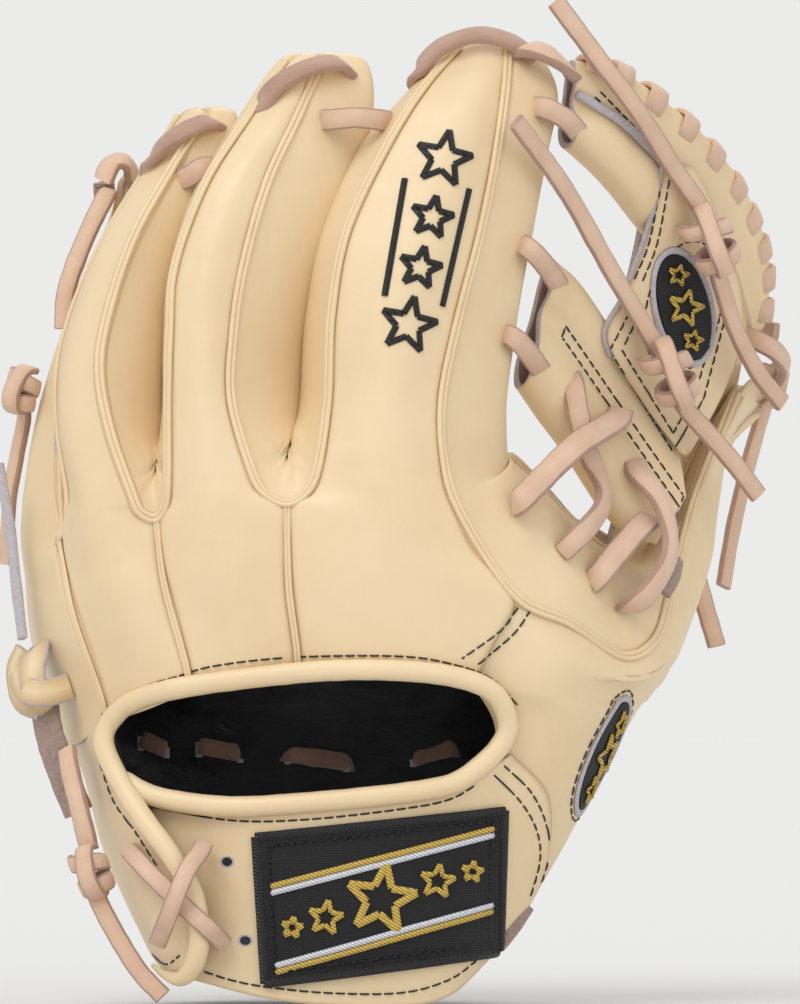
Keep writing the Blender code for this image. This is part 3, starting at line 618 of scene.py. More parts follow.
def line_of(finger, place):
    """One of a finger's seven long lines, from its base over the rounded tip."""
    line = [Vector((*level[place], level[0])) for level in finger]
    top = finger[-1]
    middle = Vector((sum(p[0] for p in top[1:]) / 7, sum(p[1] for p in top[1:]) / 7, top[0]))
    return line + [middle.lerp(line[-1], TIP_SHARE) + UP * TIP_RISE]


INDEX_HAND = (
    [(-2.5, -45, 17), (-2, -47.5, 25), (-4.4, -50, 45), (-5, -49.4, 60), (-4.7, -48.7, 69.4),
     (0.8, -47.8, 72.8)],
    [(24, -49, 18.5), (24, -52, 26.5), (24, -54, 46), (24, -54.5, 58), (24, -54.5, 65.5),
     (24, -54, 73)],
    [(52, -45, 17.5), (55.5, -47, 25.5), (63.5, -46.5, 42), (52, -47, 55), (47, -46.8, 65),
     (43.5, -46, 73)],
)
MIDDLE_HAND = (
    [(-34, -41, 13.5), (-35, -43.5, 21.5), (-41.5, -43, 46), (-43.6, -41, 57), (-44, -40, 64.8),
     (-41.4, -41, 69.6)],
    [(-18, -46, 15.5), (-18.5, -48.5, 23.5), (-23, -51, 46), (-25, -50.8, 57), (-26.5, -50.4, 65),
     (-27.5, -50, 72)],
    [(-2.5, -45, 17), (-2, -47.5, 25), (-4.5, -50, 45), (-5, -49.4, 60), (-5.3, -48.7, 69.4),
     (-11.2, -48.2, 72.4)],
)
RING_HAND = (
    [(-59, -25, 4), (-60.5, -26.5, 12), (-68.7, -24, 38), (-72, -18.5, 50), (-73.4, -15.5, 58.6),
     (-72.9, -14.4, 64.6)],
    [(-47, -35, 8), (-48, -37.5, 16), (-56, -39, 40), (-60, -36.5, 51), (-62.7, -34.5, 59),
     (-65, -32.6, 66)],
    [(-34, -41, 13.5), (-35, -43.5, 21.5), (-41.5, -43, 45), (-43.6, -41, 57), (-44.2, -40, 64.8),
     (-47.8, -39.4, 67.6)],
)
PINKY_HAND = (
    [(-66, 42, -6), (-69, 40, 2), (-77, 45, 24), (-77, 47, 44)],
    [(-70, 26, -6), (-73, 26, 3), (-82, 34, 25), (-82.5, 38, 44)],
    [(-71, 9, -4), (-73.5, 10, 5), (-82, 18, 27), (-84.5, 24, 44)],
    [(-67, -10, -2), (-68, -10, 7), (-79, -3, 29), (-82, 2, 45)],
    [(-59, -25, 4), (-60.5, -26.5, 12), (-69, -23.5, 34), (-73.5, -16, 53)],
)


def strip(finger, hand):
    places = (LEFT_PALM, LEFT_SIDE, LEFT_WELT, CROWN, RIGHT_WELT)[-len(hand):]
    return [low + line_of(finger, place) for low, place in zip(hand, places)]


def between(left_finger, right_finger, crotch, close):
    """The strip between two fingers: down one side, round the crotch and up the other side.

    The two fingers' sides are drawn together up to the level at which the fingers part.
    """
    net = []
    pairs = ((RIGHT_WELT, LEFT_WELT), (RIGHT_SIDE, LEFT_SIDE), (RIGHT_PALM, LEFT_PALM))
    for (down, up), turn in zip(pairs, crotch):
        left = line_of(left_finger, down)
        right = line_of(right_finger, up)
        turn = Vector(turn)
        if down == RIGHT_SIDE:
            for k in range(len(left)):
                share = 0.5 * close * smooth((PARTING_LEVEL - k) / 1.6)
                gap = right[k].x - left[k].x
                if gap > 0:
                    left[k].x += gap * share
                    right[k].x -= gap * share
        if down != RIGHT_WELT:
            left[0] = turn.lerp(left[1], 0.45)
            right[0] = turn.lerp(right[1], 0.45)
        low = [left[0].lerp(turn, 0.5), right[0].lerp(turn, 0.5)]
        if down == RIGHT_WELT:
            low[0] += Vector((-1.1, -0.3, -1.6))
            low[1] += Vector((1.1, -0.3, -2.2))
        net.append(left[::-1] + [low[0], turn, low[1]] + right)
    return net[::-1]


INDEX_MIDDLE = between(MIDDLE, INDEX, ((-5, -48, 69.5), (-5, -36, 83.5), (-0.5, -3.5, 78.5)), 0.97)
MIDDLE_RING = between(RING, MIDDLE, ((-44, -39.5, 65), (-44.2, -29, 79.5), (-42.5, 1, 73.5)), 0.97)
RING_PINKY = between(PINKY, RING, ((-73.5, -13.5, 59), (-70, 3, 66), (-61.5, 24, 62)), 0.9)

CROTCH_INDEX = [
    [(48, -47, 64), (63, -46, 42), (79, -38, 34)],
    [(61, -26, 80), (70, -26, 70), (80, -21, 60)],
    [(61.5, -3.2, 84), (71, 1, 75), (80, 6, 65)],
]
CROTCH_THUMB = [
    [(79, -38, 34), (95, -21, 24), (105, -9, 29), (110, 8, 44), (116, 28, 66), (124, 46, 87),
     (131, 61, 103)],
    [(80, -21, 60), (89, -15, 52), (99, -4, 46), (106, 10, 50), (112, 26, 63), (119, 49, 84),
     (129, 66, 103)],
    [(80, 6, 65), (91, 13, 56), (101, 24, 55), (108, 36, 65), (115, 48, 78), (121, 60, 91),
     (131, 73, 101)],
]
THUMB_BACK = [
    [(46, -29, -62), (58, -34, -32), (57, -38, 2), (50.5, -43, 18.5), (62, -45.5, 41),
     (80, -37, 33), (95, -21, 24), (105, -9, 29), (110, 8, 44), (116, 28, 66), (124, 46, 87),
     (131, 61, 103)],
    [(61, -13, -58), (76, -17, -30), (82, -31, 3), (79, -37, 12), (82, -36.5, 17), (90, -29, 17),
     (100, -18, 16.5), (108.5, -5.5, 21), (115, 10, 38), (119.5, 32, 61), (126.5, 52, 87),
     (136, 66, 106.5)],
    [(63, 3, -58), (79.5, -1, -30), (97.8, 2, 5), (101.8, 5, 10.5), (106.2, 8, 16.5),
     (111.4, 12, 23), (114.8, 17.5, 30), (119, 27, 40), (123, 37, 53), (125.5, 50, 70),
     (130, 66, 90), (140.5, 76, 105)],
    [(62, 19, -57), (77, 22, -30), (97, 31, 5), (101, 34.5, 11), (104.8, 37, 17), (108.8, 40, 24),
     (112.6, 43.7, 32), (116, 48, 42), (119, 54, 54), (121.5, 63, 70), (128, 76, 88),
     (138, 84, 99)],
]
FOLD_LOW = Vector((54.3, 40.6, -58.0))
FOLD_HIGH = Vector((75.0, 8.6, 70.0))


def fold_point(z):
    part = (z - FOLD_LOW.z) / (FOLD_HIGH.z - FOLD_LOW.z)
    return FOLD_LOW.lerp(FOLD_HIGH, part)


THUMB_FRONT = [
    [(62, 20, -57), (77, 23, -30), (97, 32, 5), (107, 39, 18), (116, 49, 42), (121.5, 64.5, 70),
     (127.5, 77, 88), (137.5, 85, 98.5)],
    [(60, 32, -58), (69, 33, -30), (81, 32, 0), (88, 29, 24), (98, 27, 46), (110, 44, 62),
     (121, 63, 85), (134, 79, 100.5)],
    [fold_point(-58), fold_point(-30), fold_point(2), fold_point(36), (80, 6, 65), (101, 24, 55),
     (115, 48, 78), (131, 73, 101)],
]
THUMB_TIP = Vector((136, 74, 102.5))
THUMB_WEB = [
    [(91, 14, 55), (101, 25, 54), (108, 37, 64), (115, 49, 77), (121, 61, 90), (130, 73, 100)],
    [(93, 12, 62), (102, 24, 68), (109, 36, 79), (116.5, 49, 91), (124, 61, 102),
     (132.5, 70, 110)],
    [(95, 13, 70), (103.5, 26, 83), (110, 37, 94), (118, 48, 106), (127, 58, 116), (134, 65, 122)],
]


def tipped(net):
    """A thumb panel's lines carried on over the rounded tip."""
    return [line + [THUMB_TIP.lerp(Vector(line[-1]), THUMB_TIP_SHARE) + UP * THUMB_TIP_RISE]
            for line in net]


PALM_ROWS = [
    [(38, 43, -61), (24, 46, -65), (8, 47, -67), (-10, 46, -67), (-26, 43, -65), (-40, 35, -61),
     (-50, 23, -56)],
    [(42, 42, -30), (26, 45, -30), (8, 45, -30), (-10, 45, -30), (-28, 46, -30), (-45, 44, -30),
     (-60, 32, -30)],
    [(48, 29, 2), (25, 26, 4), (5, 26, 4), (-15, 29, 4), (-35, 36, 4), (-55, 44, 4), (-72, 38, 4)],
    [(52, 16, 38), (27, 6, 38), (2, 5, 38), (-18, 8, 38), (-40, 18, 38), (-60, 35, 38),
     (-80, 45, 36)],
]
PALM_FOLD = (-58, -30, 2, 36)
PALM_CORNER = Vector((79, 5.5, 66))


def finger_front(finger):
    """The three lines of a finger's catching side, from its right palm seam to its left."""
    right = line_of(finger, RIGHT_PALM)
    left = line_of(finger, LEFT_PALM)
    return [right, [(a + b) / 2 for a, b in zip(left, right)], left]


def palm_net():
    """Twelve lines from the heel up over the palm and on up the fronts of the four fingers."""
    fingers = [line for finger in (INDEX, MIDDLE, RING, PINKY) for line in finger_front(finger)]
    fingers[0][0] = PALM_CORNER
    rows = [[fold_point(z)] + row for z, row in zip(PALM_FOLD, PALM_ROWS)]
    last = len(fingers) - 1
    out = []
    for k, line in enumerate(fingers):
        low = Vector((61.5, -3.2, 84)) if k == 0 else line[0].lerp(line[1], 0.5)
        out.append([spline(row, k / last) for row in rows] + [line[0], low] + line[1:])
    return out


# ---------------------------------------------------------------- the shell


def creases(centre, reach, depth=0.35, count=9):
    """Small wrinkles that run out from a drawn-in point, seen from the back."""
    centre = Vector(centre)

    def at(p):
        d = p - centre
        r = math.hypot(d.x, d.z)
        if r > reach:
            return 0.0
        angle = math.atan2(d.z, d.x)
        return depth * math.sin(count * angle + 0.35 * r) * math.exp(-(r / (0.45 * reach)) ** 2)
    return at


def build_shell():
    inner = [CREAM, FLESH, SUEDE]
    for name, finger, hand in (("index", INDEX, INDEX_HAND), ("middle", MIDDLE, MIDDLE_HAND),
                               ("ring", RING, RING_HAND)):
        panel("back_" + name + "_skin", grid(strip(finger, hand), edged(34), even(150)),
              ["back_" + name])
    panel("back_pinky_skin", grid(strip(PINKY, PINKY_HAND), edged(52), even(130)), ["back_pinky"])
    for name, net, turn in (("gusset_index_middle", INDEX_MIDDLE, (-5, -36, 85)),
                            ("gusset_middle_ring", MIDDLE_RING, (-44.2, -29, 81)),
                            ("gusset_ring_pinky", RING_PINKY, (-70, 3, 66))):
        panel(name + "_skin", grid(net, edged(30), even(220)), [name], reach=3.0,
              materials=inner, shape=creases(turn, 14))
    index_side = [line_of(INDEX, place)[::-1] + turn for place, turn in
        zip((RIGHT_WELT, RIGHT_SIDE, RIGHT_PALM), CROTCH_INDEX)]
    index_side[2][7] = Vector((58.3, -4.5, 91))
    crotch = [a + b[1:] for a, b in zip(index_side, tipped(CROTCH_THUMB))]
    panel("crotch_skin", grid(crotch[::-1], edged(34), even(290)),
          ["gusset_index", "gusset_thumb"], materials=inner)
    panel("thumb_back_skin", grid(tipped(THUMB_BACK), edged(54), even(180)), ["thumb_back"],
          sides=(0.8, 0.5), materials=inner)
    panel("thumb_front_skin", grid(tipped(THUMB_FRONT), edged(34), even(140)), ["thumb_front"],
          sides=(0.5, 1.2), materials=inner)
    panel("thumb_web_skin", grid(THUMB_WEB[::-1], edged(30), even(90)), sides=(0, 0), wrinkle=0.4,
          materials=inner)
    palm = palm_net()
    panel("palm_skin", grid(palm, edged(90), [PALM_CUT * k for k in even(60)]), ["palm_shell"],
          sides=(1.2, 1.2))
    felt = grid(palm, [0.03 + 0.94 * s for s in even(60)],
                [PALM_CUT * (0.02 + 0.95 * k) for k in even(40)])
    pad = panel("palm_pad", lifted(felt, -FELT_DEPTH), ["palm_felt"], 1.9, (0, 0), slot="felt",
                materials=[FELT], skin=False)
    start = PALM_CUT * FRONT_START
    for k, name in enumerate(("index", "middle", "ring", "pinky")):
        rows = grid(palm[3 * k:3 * k + 3], edged(28), [start + (1 - start) * f for f in even(90)])
        panel("front_" + name + "_skin", rows, materials=inner)


def welt(build, points, hit, radius=WELT_RADIUS, lift=0.1):
    """A double piping along a seam with the seam's own strip of leather under it."""
    places = route(points, WELT_STEP)
    ups = []
    for p in places:
        n = Vector()
        for d in ((0, 0, 0), (1.5, 0, 0), (-1.5, 0, 0), (0, 0, 1.5), (0, 0, -1.5)):
            n += hit.find_nearest(p + Vector(d))[1]
        ups.append(n.normalized() if n.length > 0.1 else BACK)
    for _ in range(6):
        inside = [(a + b + c).normalized() for a, b, c in zip(ups, ups[1:], ups[2:])]
        ups = [ups[0]] + inside + [ups[-1]]
    tape = [p - n * TAPE_DEPTH for p, n in zip(places, ups)]
    add_lace(build, tape, ups, TAPE_WIDTH, TAPE_THICK, WELT_STEP, 0.0, (0, 0))
    for shift in (-PIPE_SHIFT, PIPE_SHIFT):
        line = [p + n * lift + n.cross(heading(places, k)).normalized() * shift * radius
                for k, (p, n) in enumerate(zip(places, ups))]
        add_tube(build, line, radius * PIPE_SHARE, 8, Vector((0.2, -1, 0.1)), 0.08, 0.1)


def build_welts(hit):
    build = Build()
    index_welt, index_palm = (line_of(INDEX, place)[::-1][1:] for place in
        (RIGHT_WELT, RIGHT_PALM))
    small = 0.9
    for net in (INDEX_MIDDLE, MIDDLE_RING):
        welt(build, net[2][1:-1], hit)
        welt(build, net[0][1:-1], hit, small)
    welt(build, RING_PINKY[2][5:-1], hit)
    welt(build, RING_PINKY[0][1:-1], hit, small)
    welt(build, index_welt + CROTCH_INDEX[0] + CROTCH_THUMB[0][1:], hit)
    welt(build, index_palm + CROTCH_INDEX[2] + CROTCH_THUMB[2][1:], hit, small)
    welt(build, THUMB_FRONT[0], hit, small)
    welt(build, [fold_point(z) for z in (-57, -30, 2, 36)] + [(79, 5.5, 65)], hit, 0.8)
    for left, right, top in ((INDEX_HAND[0], MIDDLE_HAND[2], (-5, -48, 69.5)),
                             (MIDDLE_HAND[0], RING_HAND[2], (-44, -39.5, 65)),
                             (RING_HAND[0], PINKY_HAND[4], (-73.5, -13.5, 59))):
        line = [(Vector(a) + Vector(b)) / 2 for a, b in zip(left[:3], right[:3])] + [top]
        welt(build, line, hit, 0.8, 0.05)
    build.piece("welts", [WELT], "shell_leather")


# ---------------------------------------------------------------- the wrist

STRAP = [
    [(-34, -38, -72), (-40, -35, -54), (-44, -33, -38), (-46, -31, -20)],
    [(-8, -43.5, -78), (-10.5, -44.3, -58), (-12, -44.8, -40), (-12, -45.5, -21)],
    [(22, -43.5, -80), (21, -46, -60), (20, -46.8, -40), (20, -48, -19)],
    [(42, -38.5, -77.5), (44, -40, -57), (45, -42, -36), (44, -45, -15.5)],
    [(57, -23, -65), (71.5, -18, -44), (73.5, -29.5, -19), (62, -39, -5)],
]
FLAP = [
    [(-47, 18, -60), (-53, 25, -48), (-59, 31, -32), (-64, 35, -16), (-68, 38, -3)],
    [(-47, -6, -64), (-54, 2, -50), (-61, 8, -34), (-66, 11, -15), (-71, 11, -1)],
    [(-41, -33, -70), (-48, -28, -52), (-55, -22, -34), (-62.5, -13, -12), (-67, -10, 1)],
    [(-34, -46, -70), (-34.5, -46.5, -46), (-44, -41, -30), (-57, -29, -8), (-60.5, -26, 5)],
]
ROLL = [(-54, -33, -13), (-43, -37, -18), (-22, -44.5, -20.5), (4, -48.5, -19), (28.5, -49, -16.5),
    (43, -46.5, -14), (51, -44, -9.5), (58.5, -41.5, -2), (60.3, -42, 5), (56, -45.5, 13.5),
    (45, -49, 18), (28, -52.5, 20), (8, -52.5, 20), (-14, -50.5, 18), (-38, -43, 14.5),
    (-51, -35, 10.5), (-57.5, -31, 5), (-59.8, -31, -1), (-57.5, -33, -8), (-53, -36.5, -16),
    (-47, -41.5, -25), (-39, -46.5, -35.5), (-33, -49, -46), (-31, -49.5, -58),
    (-32.5, -48.0, -67), (-36.5, -44.5, -71.5), (-41.5, -38, -70.5), (-45, -31, -68)]


def build_wrist():
    panel("strap_skin", grid(STRAP, edged(60), even(50)), ["wrist_strap", "strap_lining"],
          sides=(0, 0.9), reach=2.5)
    panel("flap_skin", grid(FLAP, edged(46), even(60)), ["pinky_flap"], sides=(1.0, 0.8))
    build = Build()
    rows = tube_rows(route(ROLL, 1.7), ROLL_RADIUS, 14, ROLL_FLAT, BACK, 0.05)
    for k, row in enumerate(rows):      # the roll thins out towards its end
        ease = 0.25 + 0.75 * smooth((len(rows) - 1 - k) / ROLL_THINNING)
        middle = sum(row, Vector()) / len(row)
        rows[k] = [middle.lerp(p, ease) for p in row]
    build.rows(rows, closed=True)
    build.piece("window_roll", [CREAM], "shell_leather", "window_binding", "flap_binding")


LINING_LEVELS = [
    (-52, (-42, -26), (-47, 0), (-43, 20), (-20, 35), (8, 39), (36, 34), (50, 22), (57, 2),
     (52, -24)),
    (-25, (-49, -23), (-56, 3), (-53, 26), (-28, 35), (6, 37), (40, 32), (62, 20), (74, -2),
     (62, -28)),
    (2, (-58, -19), (-65, 6), (-61, 30), (-32, 26), (4, 19), (42, 20), (78, 22), (88, 0),
     (60, -38)),
    (28, (-67, -16), (-73, 8), (-66, 30), (-36, 13), (2, 4), (38, 4), (60, 6), (72, -14),
     (58, -42)),
    (56, (-72, -6), (-76, 12), (-66, 24), (-40, 1), (-4, -7), (26, -7), (52, -8), (60, -22),
     (52, -42)),
]


def build_inside():
    net = [[(*level[k], level[0]) for level in LINING_LEVELS] for k in range(1, 10)]
    rows = grid(net, even(110), even(90))

    def folds(p):
        return 0.9 * noise.noise(Vector((p.x * 0.03, p.y * 0.03, p.z * 0.10))) \
            + 0.5 * noise.noise(Vector((p.x * 0.10, 3.0, p.z * 0.20)))
    panel("lining_skin", rows[::-1], ["palm_lining"], 1.2, (0, 0), materials=[LINING],
          slot="lining", skin=False, wrinkle=0.8, shape=folds)
    build = Build()
    hit = BVHTree.FromPolygons([p for row in rows for p in row], grid_faces(len(rows),
        len(rows[0])))
    for x0, z0, x1, z1 in ((-50, -1.5, -42, -5), (-33.5, -3.5, -18.5, -6), (-8, -5.5, 15, -9),
                           (31, -7.5, 47, -3.5)):
        points = []
        for k, f in enumerate(even(6)):
            start = Vector((x0 + (x1 - x0) * f, -20, z0 + (z1 - z0) * f))
            sink = 2.6 if k in (0, 6) else -1.9
            points.append(hit.ray_cast(start, INWARD)[0] + INWARD * sink)
        add_lace(build, points, BACK, 5.4, 2.0, ragged=0.12, slots=(0, 0))
        for end, way in ((points[1], -1.0), (points[5], 1.0)):
            rim = [end + Vector((d * way, 1.2, 0)) for d in (0.2, 1.3, 2.2)]
            add_lace(build, rim, BACK, 6.4, 1.2, slots=(1, 1))
    build.piece("heel_lacing", [LACE_DARK, SUEDE], "lace", "heel_lace")


# ---------------------------------------------------------------- the web

def web_y(x, z):
    """Depth of the web's middle: it leaves the index finger and curves round to the thumb."""
    d = x - 60 - 0.22 * max(0.0, z - 110)
    low = max(0.0, (105 - z) / 50)
    return -6 + 0.5 * d + 0.0065 * d * d - 0.62 * d * low * low


def web_point(x, z, out):
    """A point off the web's middle by a distance towards the back of the hand."""
    step = 0.5
    slope_x = (web_y(x + step, z) - web_y(x - step, z)) / (2 * step)
    slope_z = (web_y(x, z + step) - web_y(x, z - step)) / (2 * step)
    return Vector((x, web_y(x, z), z)) + Vector((slope_x, -1, slope_z)).normalized() * out


TOP_RAIL = [(80, 202.5), (92.4, 200.4), (102, 195), (112.5, 187.5), (122, 178.5), (130.5, 168),
    (136.5, 156), (139.8, 142.5), (138.5, 128)]
TOP_BAR_LOW = [(77.4, 176), (85, 169.5), (92, 162.5), (99, 154), (105.5, 146), (111.5, 138),
    (117, 129), (122, 119), (129, 111)]
POST_LEFT = [(104, 172), (102, 161), (97.5, 146), (92, 132), (87, 119), (98, 99), (110, 81.5)]
POST_RIGHT = [(113, 172), (119, 161), (124, 147), (128, 132), (127.5, 118), (121.5, 101),
    (112, 81.5)]
LOWER_BAR_TOP = [(74, 143), (81, 137), (89, 126), (98, 112), (106.5, 97), (112, 84), (114, 71)]
LOWER_BAR_LOW = [(63.5, 104), (70, 95), (77.4, 85.5), (84, 75.5), (90, 66.5), (97.5, 60),
    (106, 58)]
# Sections of the two folded bars: across from the upper edge (0) to the lower (1), and out.
TOP_SECTION = [(0.0, 0.0), (0.03, 2.4), (0.12, 3.5), (0.26, 4.0), (0.42, 3.0), (0.5, 3.6),
    (0.6, 6.3), (0.75, 7.6), (0.9, 6.2), (0.99, 2.6), (1.0, -0.8), (0.94, -3.2), (0.8, -4.4),
    (0.5, -3.6), (0.2, -3.4), (0.04, -2.2)]
LOWER_SECTION = [(0.0, 0.0), (0.03, 3.0), (0.12, 4.5), (0.26, 4.4), (0.36, 2.9), (0.44, 2.9),
    (0.56, 5.0), (0.72, 6.9), (0.88, 6.3), (0.98, 3.2), (1.0, -0.6), (0.94, -3.2), (0.8, -4.6),
    (0.5, -3.4), (0.2, -3.8), (0.04, -2.4)]


def flat_line(points, t):
    p = spline([(x, 0, z) for x, z in points], t)
    return p.x, p.z


def bar_rows(top, low, section, flatten, across=64, along=90):
    """A folded leather bar: its closed section swept from the index finger to the thumb."""
    loop = section + [section[0]]
    rows = []
    for j in range(along + 1):
        t = j / along
        x1, z1 = flat_line(top, t)
        x0, z0 = flat_line(low, t)
        row = []
        for i in range(across):
            s, _, out = spline([(s, 0, out) for s, out in loop], i / across)
            s = min(max(s, 0.0), 1.0)
            out *= flatten(s, t, out)
            row.append(web_point(x1 + (x0 - x1) * s, z1 + (z0 - z1) * s, out))
        rows.append(row)
    return rows


def bar(name, rows, nodes):
    build = Build()
    # Painted shade: the bar's two ends, where it meets the index finger and the thumb, take some
    # of the darker seam colour.
    seam = [0.35 if j in (0, len(rows) - 1) else 0.0 for j, row in enumerate(rows) for _ in row]
    out = [[p + n * 0.25 * noise.noise(p * 0.06) for p, n in zip(row, up)]
           for row, up in zip(rows, normals(rows))]
    build.rows(out, 0, seam, closed=True)
    SKINS.append((build.verts, build.faces))
    settle(thicken(build.made(name, [CREAM, TAN_SUEDE, SUEDE]), BAR_THICK, 3), "web_leather",
        *nodes)


def build_web():
    def top_flat(s, t, out):
        return 1.0 - 0.5 * smooth((t - 0.30) / 0.16) if s > 0.48 and out > 0 else 1.0

    def lower_flat(s, t, out):
        if out > 0 and s < 0.5:
            return 1.0 - 0.35 * smooth((t - 0.25) / 0.2)
        return 1.0 - 0.25 * smooth((t - 0.7) / 0.3)
    bar("web_top", bar_rows(TOP_RAIL, TOP_BAR_LOW, TOP_SECTION, top_flat, 72, 110),
        ["web_top_bar", "web_top_bar_front"])
    bar("web_lower", bar_rows(LOWER_BAR_TOP, LOWER_BAR_LOW, LOWER_SECTION, lower_flat, 72, 90),
        ["web_lower_bar", "web_lower_bar_front"])
    for name, out, node_name in (("web_post", 6.2, "web_post_back"),
                                 ("web_post_inner", -6.4, "web_post_front")):
        rows = []
        for t in even(90):
            x0, z0 = flat_line(POST_LEFT, t)
            x1, z1 = flat_line(POST_RIGHT, t)
            row = []
            for s in edged(34):
                s = s if out > 0 else 0.22 + 0.74 * s
                rise = out + 0.7 * math.sin(math.pi * s) * (1 if out > 0 else -1)
                row.append(web_point(x0 + (x1 - x0) * s, z0 + (z1 - z0) * s, rise))
            rows.append(row if out < 0 else row[::-1])
        panel(name, rows, [node_name], 2.2, (0.5, 0.5), (0.5, 0.3), 2.0, "web_leather",
              [CREAM, SUEDE, SUEDE], wrinkle=0.15)
    edges = Build()
    line = [web_point(x, z, 4.6) for x, z in ((79.5, 192.5), (92.1, 184.8), (99, 178.5),
        (104.5, 172.5))]
    add_lace(edges, line, BACK, 2.6, 1.6, ragged=0.1)
    left = [web_point(*flat_line(POST_LEFT, t), 5.2) + Vector((-0.2, 0, 0)) for t in even(24)[:18]]
    add_lace(edges, left, Vector((-0.8, -0.6, 0)), 2.5, 0.9, ragged=0.1)
    edges.piece("web_cut_edges", [SUEDE, SUEDE], "web_leather")


# ---------------------------------------------------------------- laces

def laid(points, hit, ends=0):
    """The route's places moved off whatever leather they would cut into, seen from the back."""
    places = route(points, 2.0)
    out = []
    for k, p in enumerate(places):
        place = hit.ray_cast(Vector((p.x, -FAR, p.z)), INWARD)[0]
        hidden = min(k, len(places) - 1 - k) < ends
        if place is not None and p.y > place.y - LACE_GAP and not hidden:
            p = Vector((p.x, place.y - LACE_GAP, p.z))
        out.append(p)
    for _ in range(3):
        inside = [(a + b * 2 + c) / 4 for a, b, c in zip(out, out[1:], out[2:])]
        out = [out[0]] + inside + [out[-1]]
    return out


def lace_piece(name, points, nodes=(), hints=BACK, hit=None, flip=False, width=LACE_WIDTH + 0.4,
               thick=LACE_THICK):
    """A lace of its own.  With hit, it is laid over the leather but for its sunk ends."""
    build = Build()
    add_lace(build, laid(points, hit, ends=1) if hit else points, hints, width, thick, flip=flip)
    build.piece(name, RAWHIDE, "lace", *nodes, sharp=LACE_SHARP)


def knot_into(build, centre, along, out, size=1.0):
    """A pulled knot: a collar round the tails, a loop over it and a turn that crosses both."""
    c = Vector(centre)
    a = Vector(along).normalized()
    o = square_to(Vector(out), a)
    s = a.cross(o)

    def place(u, v, w):
        return c + (a * u + s * v + o * w) * size
    collar = [place(3.2 + 0.8 * math.sin(k), 4.7 * math.cos(k), 3.6 * math.sin(k))
              for k in [2 * math.pi * n / 10 for n in range(11)]]
    add_lace(build, collar, [(p - place(3.2, 0, 0)).normalized() for p in collar], 5.4, 1.9)
    loop = [place(*p) for p in ((-8.5, -1.5, -1.5), (-8.0, -0.8, 2.6), (-4.0, 0.2, 5.2),
        (1.0, 0.8, 6.2), (5.4, 0.6, 5.2), (7.0, 0.2, 1.5), (5.5, 0, -2))]
    add_lace(build, loop, [-a * 0.9 + o * 0.2, o - a * 0.7, o, o, o + a * 0.5, a, a], 5.6, 1.9)
    turn = [place(*p) for p in ((-5.5, 5.0, -2.0), (-5.2, 4.6, 1.8), (-4.4, 1.0, 3.6),
        (-3.4, -3.2, 3.2), (-2.4, -5.2, 0.4), (-2.0, -4.6, -2.4))]
    add_lace(build, turn, [s, s + o * 0.6, o, o - s * 0.4, -s, -s], 5.2, 1.8)


TAILS = {
    "tail_web_top_long": ([(122, 17, 150), (119.5, 17, 158), (111, 8, 170), (99.5, -5, 187.5),
        (87.5, -11, 203), (75, -14, 219.6)], Vector((0.1, -1, 0.2))),
    "tail_web_top_short": ([(123, 18, 143), (125.5, 24, 135), (130, 31, 122), (137, 41, 109),
        (144.6, 51, 100)], Vector((0.5, -1, 0.1))),
    "tail_web_low_long": ([(109.5, 9.5, 110), (105.5, 11, 117), (92, -3, 139), (78, -18, 163),
        (63, -37, 183)], Vector((0.4, -1, 0.1))),
    "tail_web_low_short": ([(111.5, 12, 103), (115, 17.5, 97.5), (121, 21, 91), (129, 25, 82),
        (136.8, 32, 72)], Vector((0.2, -1, 0.1))),
    "tail_thumb_tip": ([(140.5, 88, 100), (135, 91, 80), (130.5, 88, 61), (127.5, 82, 44)],
        Vector((0.7, -0.7, 0))),
    "tail_thumb_back": ([(113, 58, 61), (118, 62, 50), (121.5, 64, 38), (125, 62, 26)],
        Vector((0.3, -1, 0))),
    "tail_pinky_tip": ([(-59, 13.5, 164), (-64, 10, 154), (-69, 7, 142), (-72, 4.5, 132),
        (-72.5, 3, 122)], Vector((-0.3, -1, 0))),
    "tail_pinky_side": ([(-84.8, 21, 101), (-85, 25.5, 95), (-87, 27, 85), (-89.5, 28, 70),
        (-90.5, 29, 51)], Vector((-0.8, -0.6, 0))),
    "tail_pinky_heel": ([(-84.5, -8, 29), (-86.5, -5, 45), (-88.5, 0, 62), (-92, 4, 81)],
        Vector((-1, -0.25, 0))),
    "tail_flap": ([(-62.6, -28.5, -43), (-61.6, -30, -48), (-57, -32, -57), (-49.5, -36, -69),
        (-42, -38, -77)], Vector((-0.2, -1, 0.2))),
}
THUMB_TAILS = ("tail_web_top_long", "tail_web_top_short", "tail_web_low_long",
    "tail_web_low_short", "tail_thumb_tip", "tail_thumb_back")


def build_tails():
    """The free lace ends, each a flat lace of its real length, cut square."""
    for name, (points, hint) in TAILS.items():
        build = Build()
        places = add_lace(build, points, hint, TAIL_WIDTH, TAIL_THICK)
        length = runs([places])[0][-1]
        grey = name == "tail_pinky_heel"
        obj = build.made(name + "_lace", [SUEDE, SUEDE] if grey else RAWHIDE, LACE_SHARP)
        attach(obj, THUMB if name in THUMB_TAILS else ROOT)
        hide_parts(name)


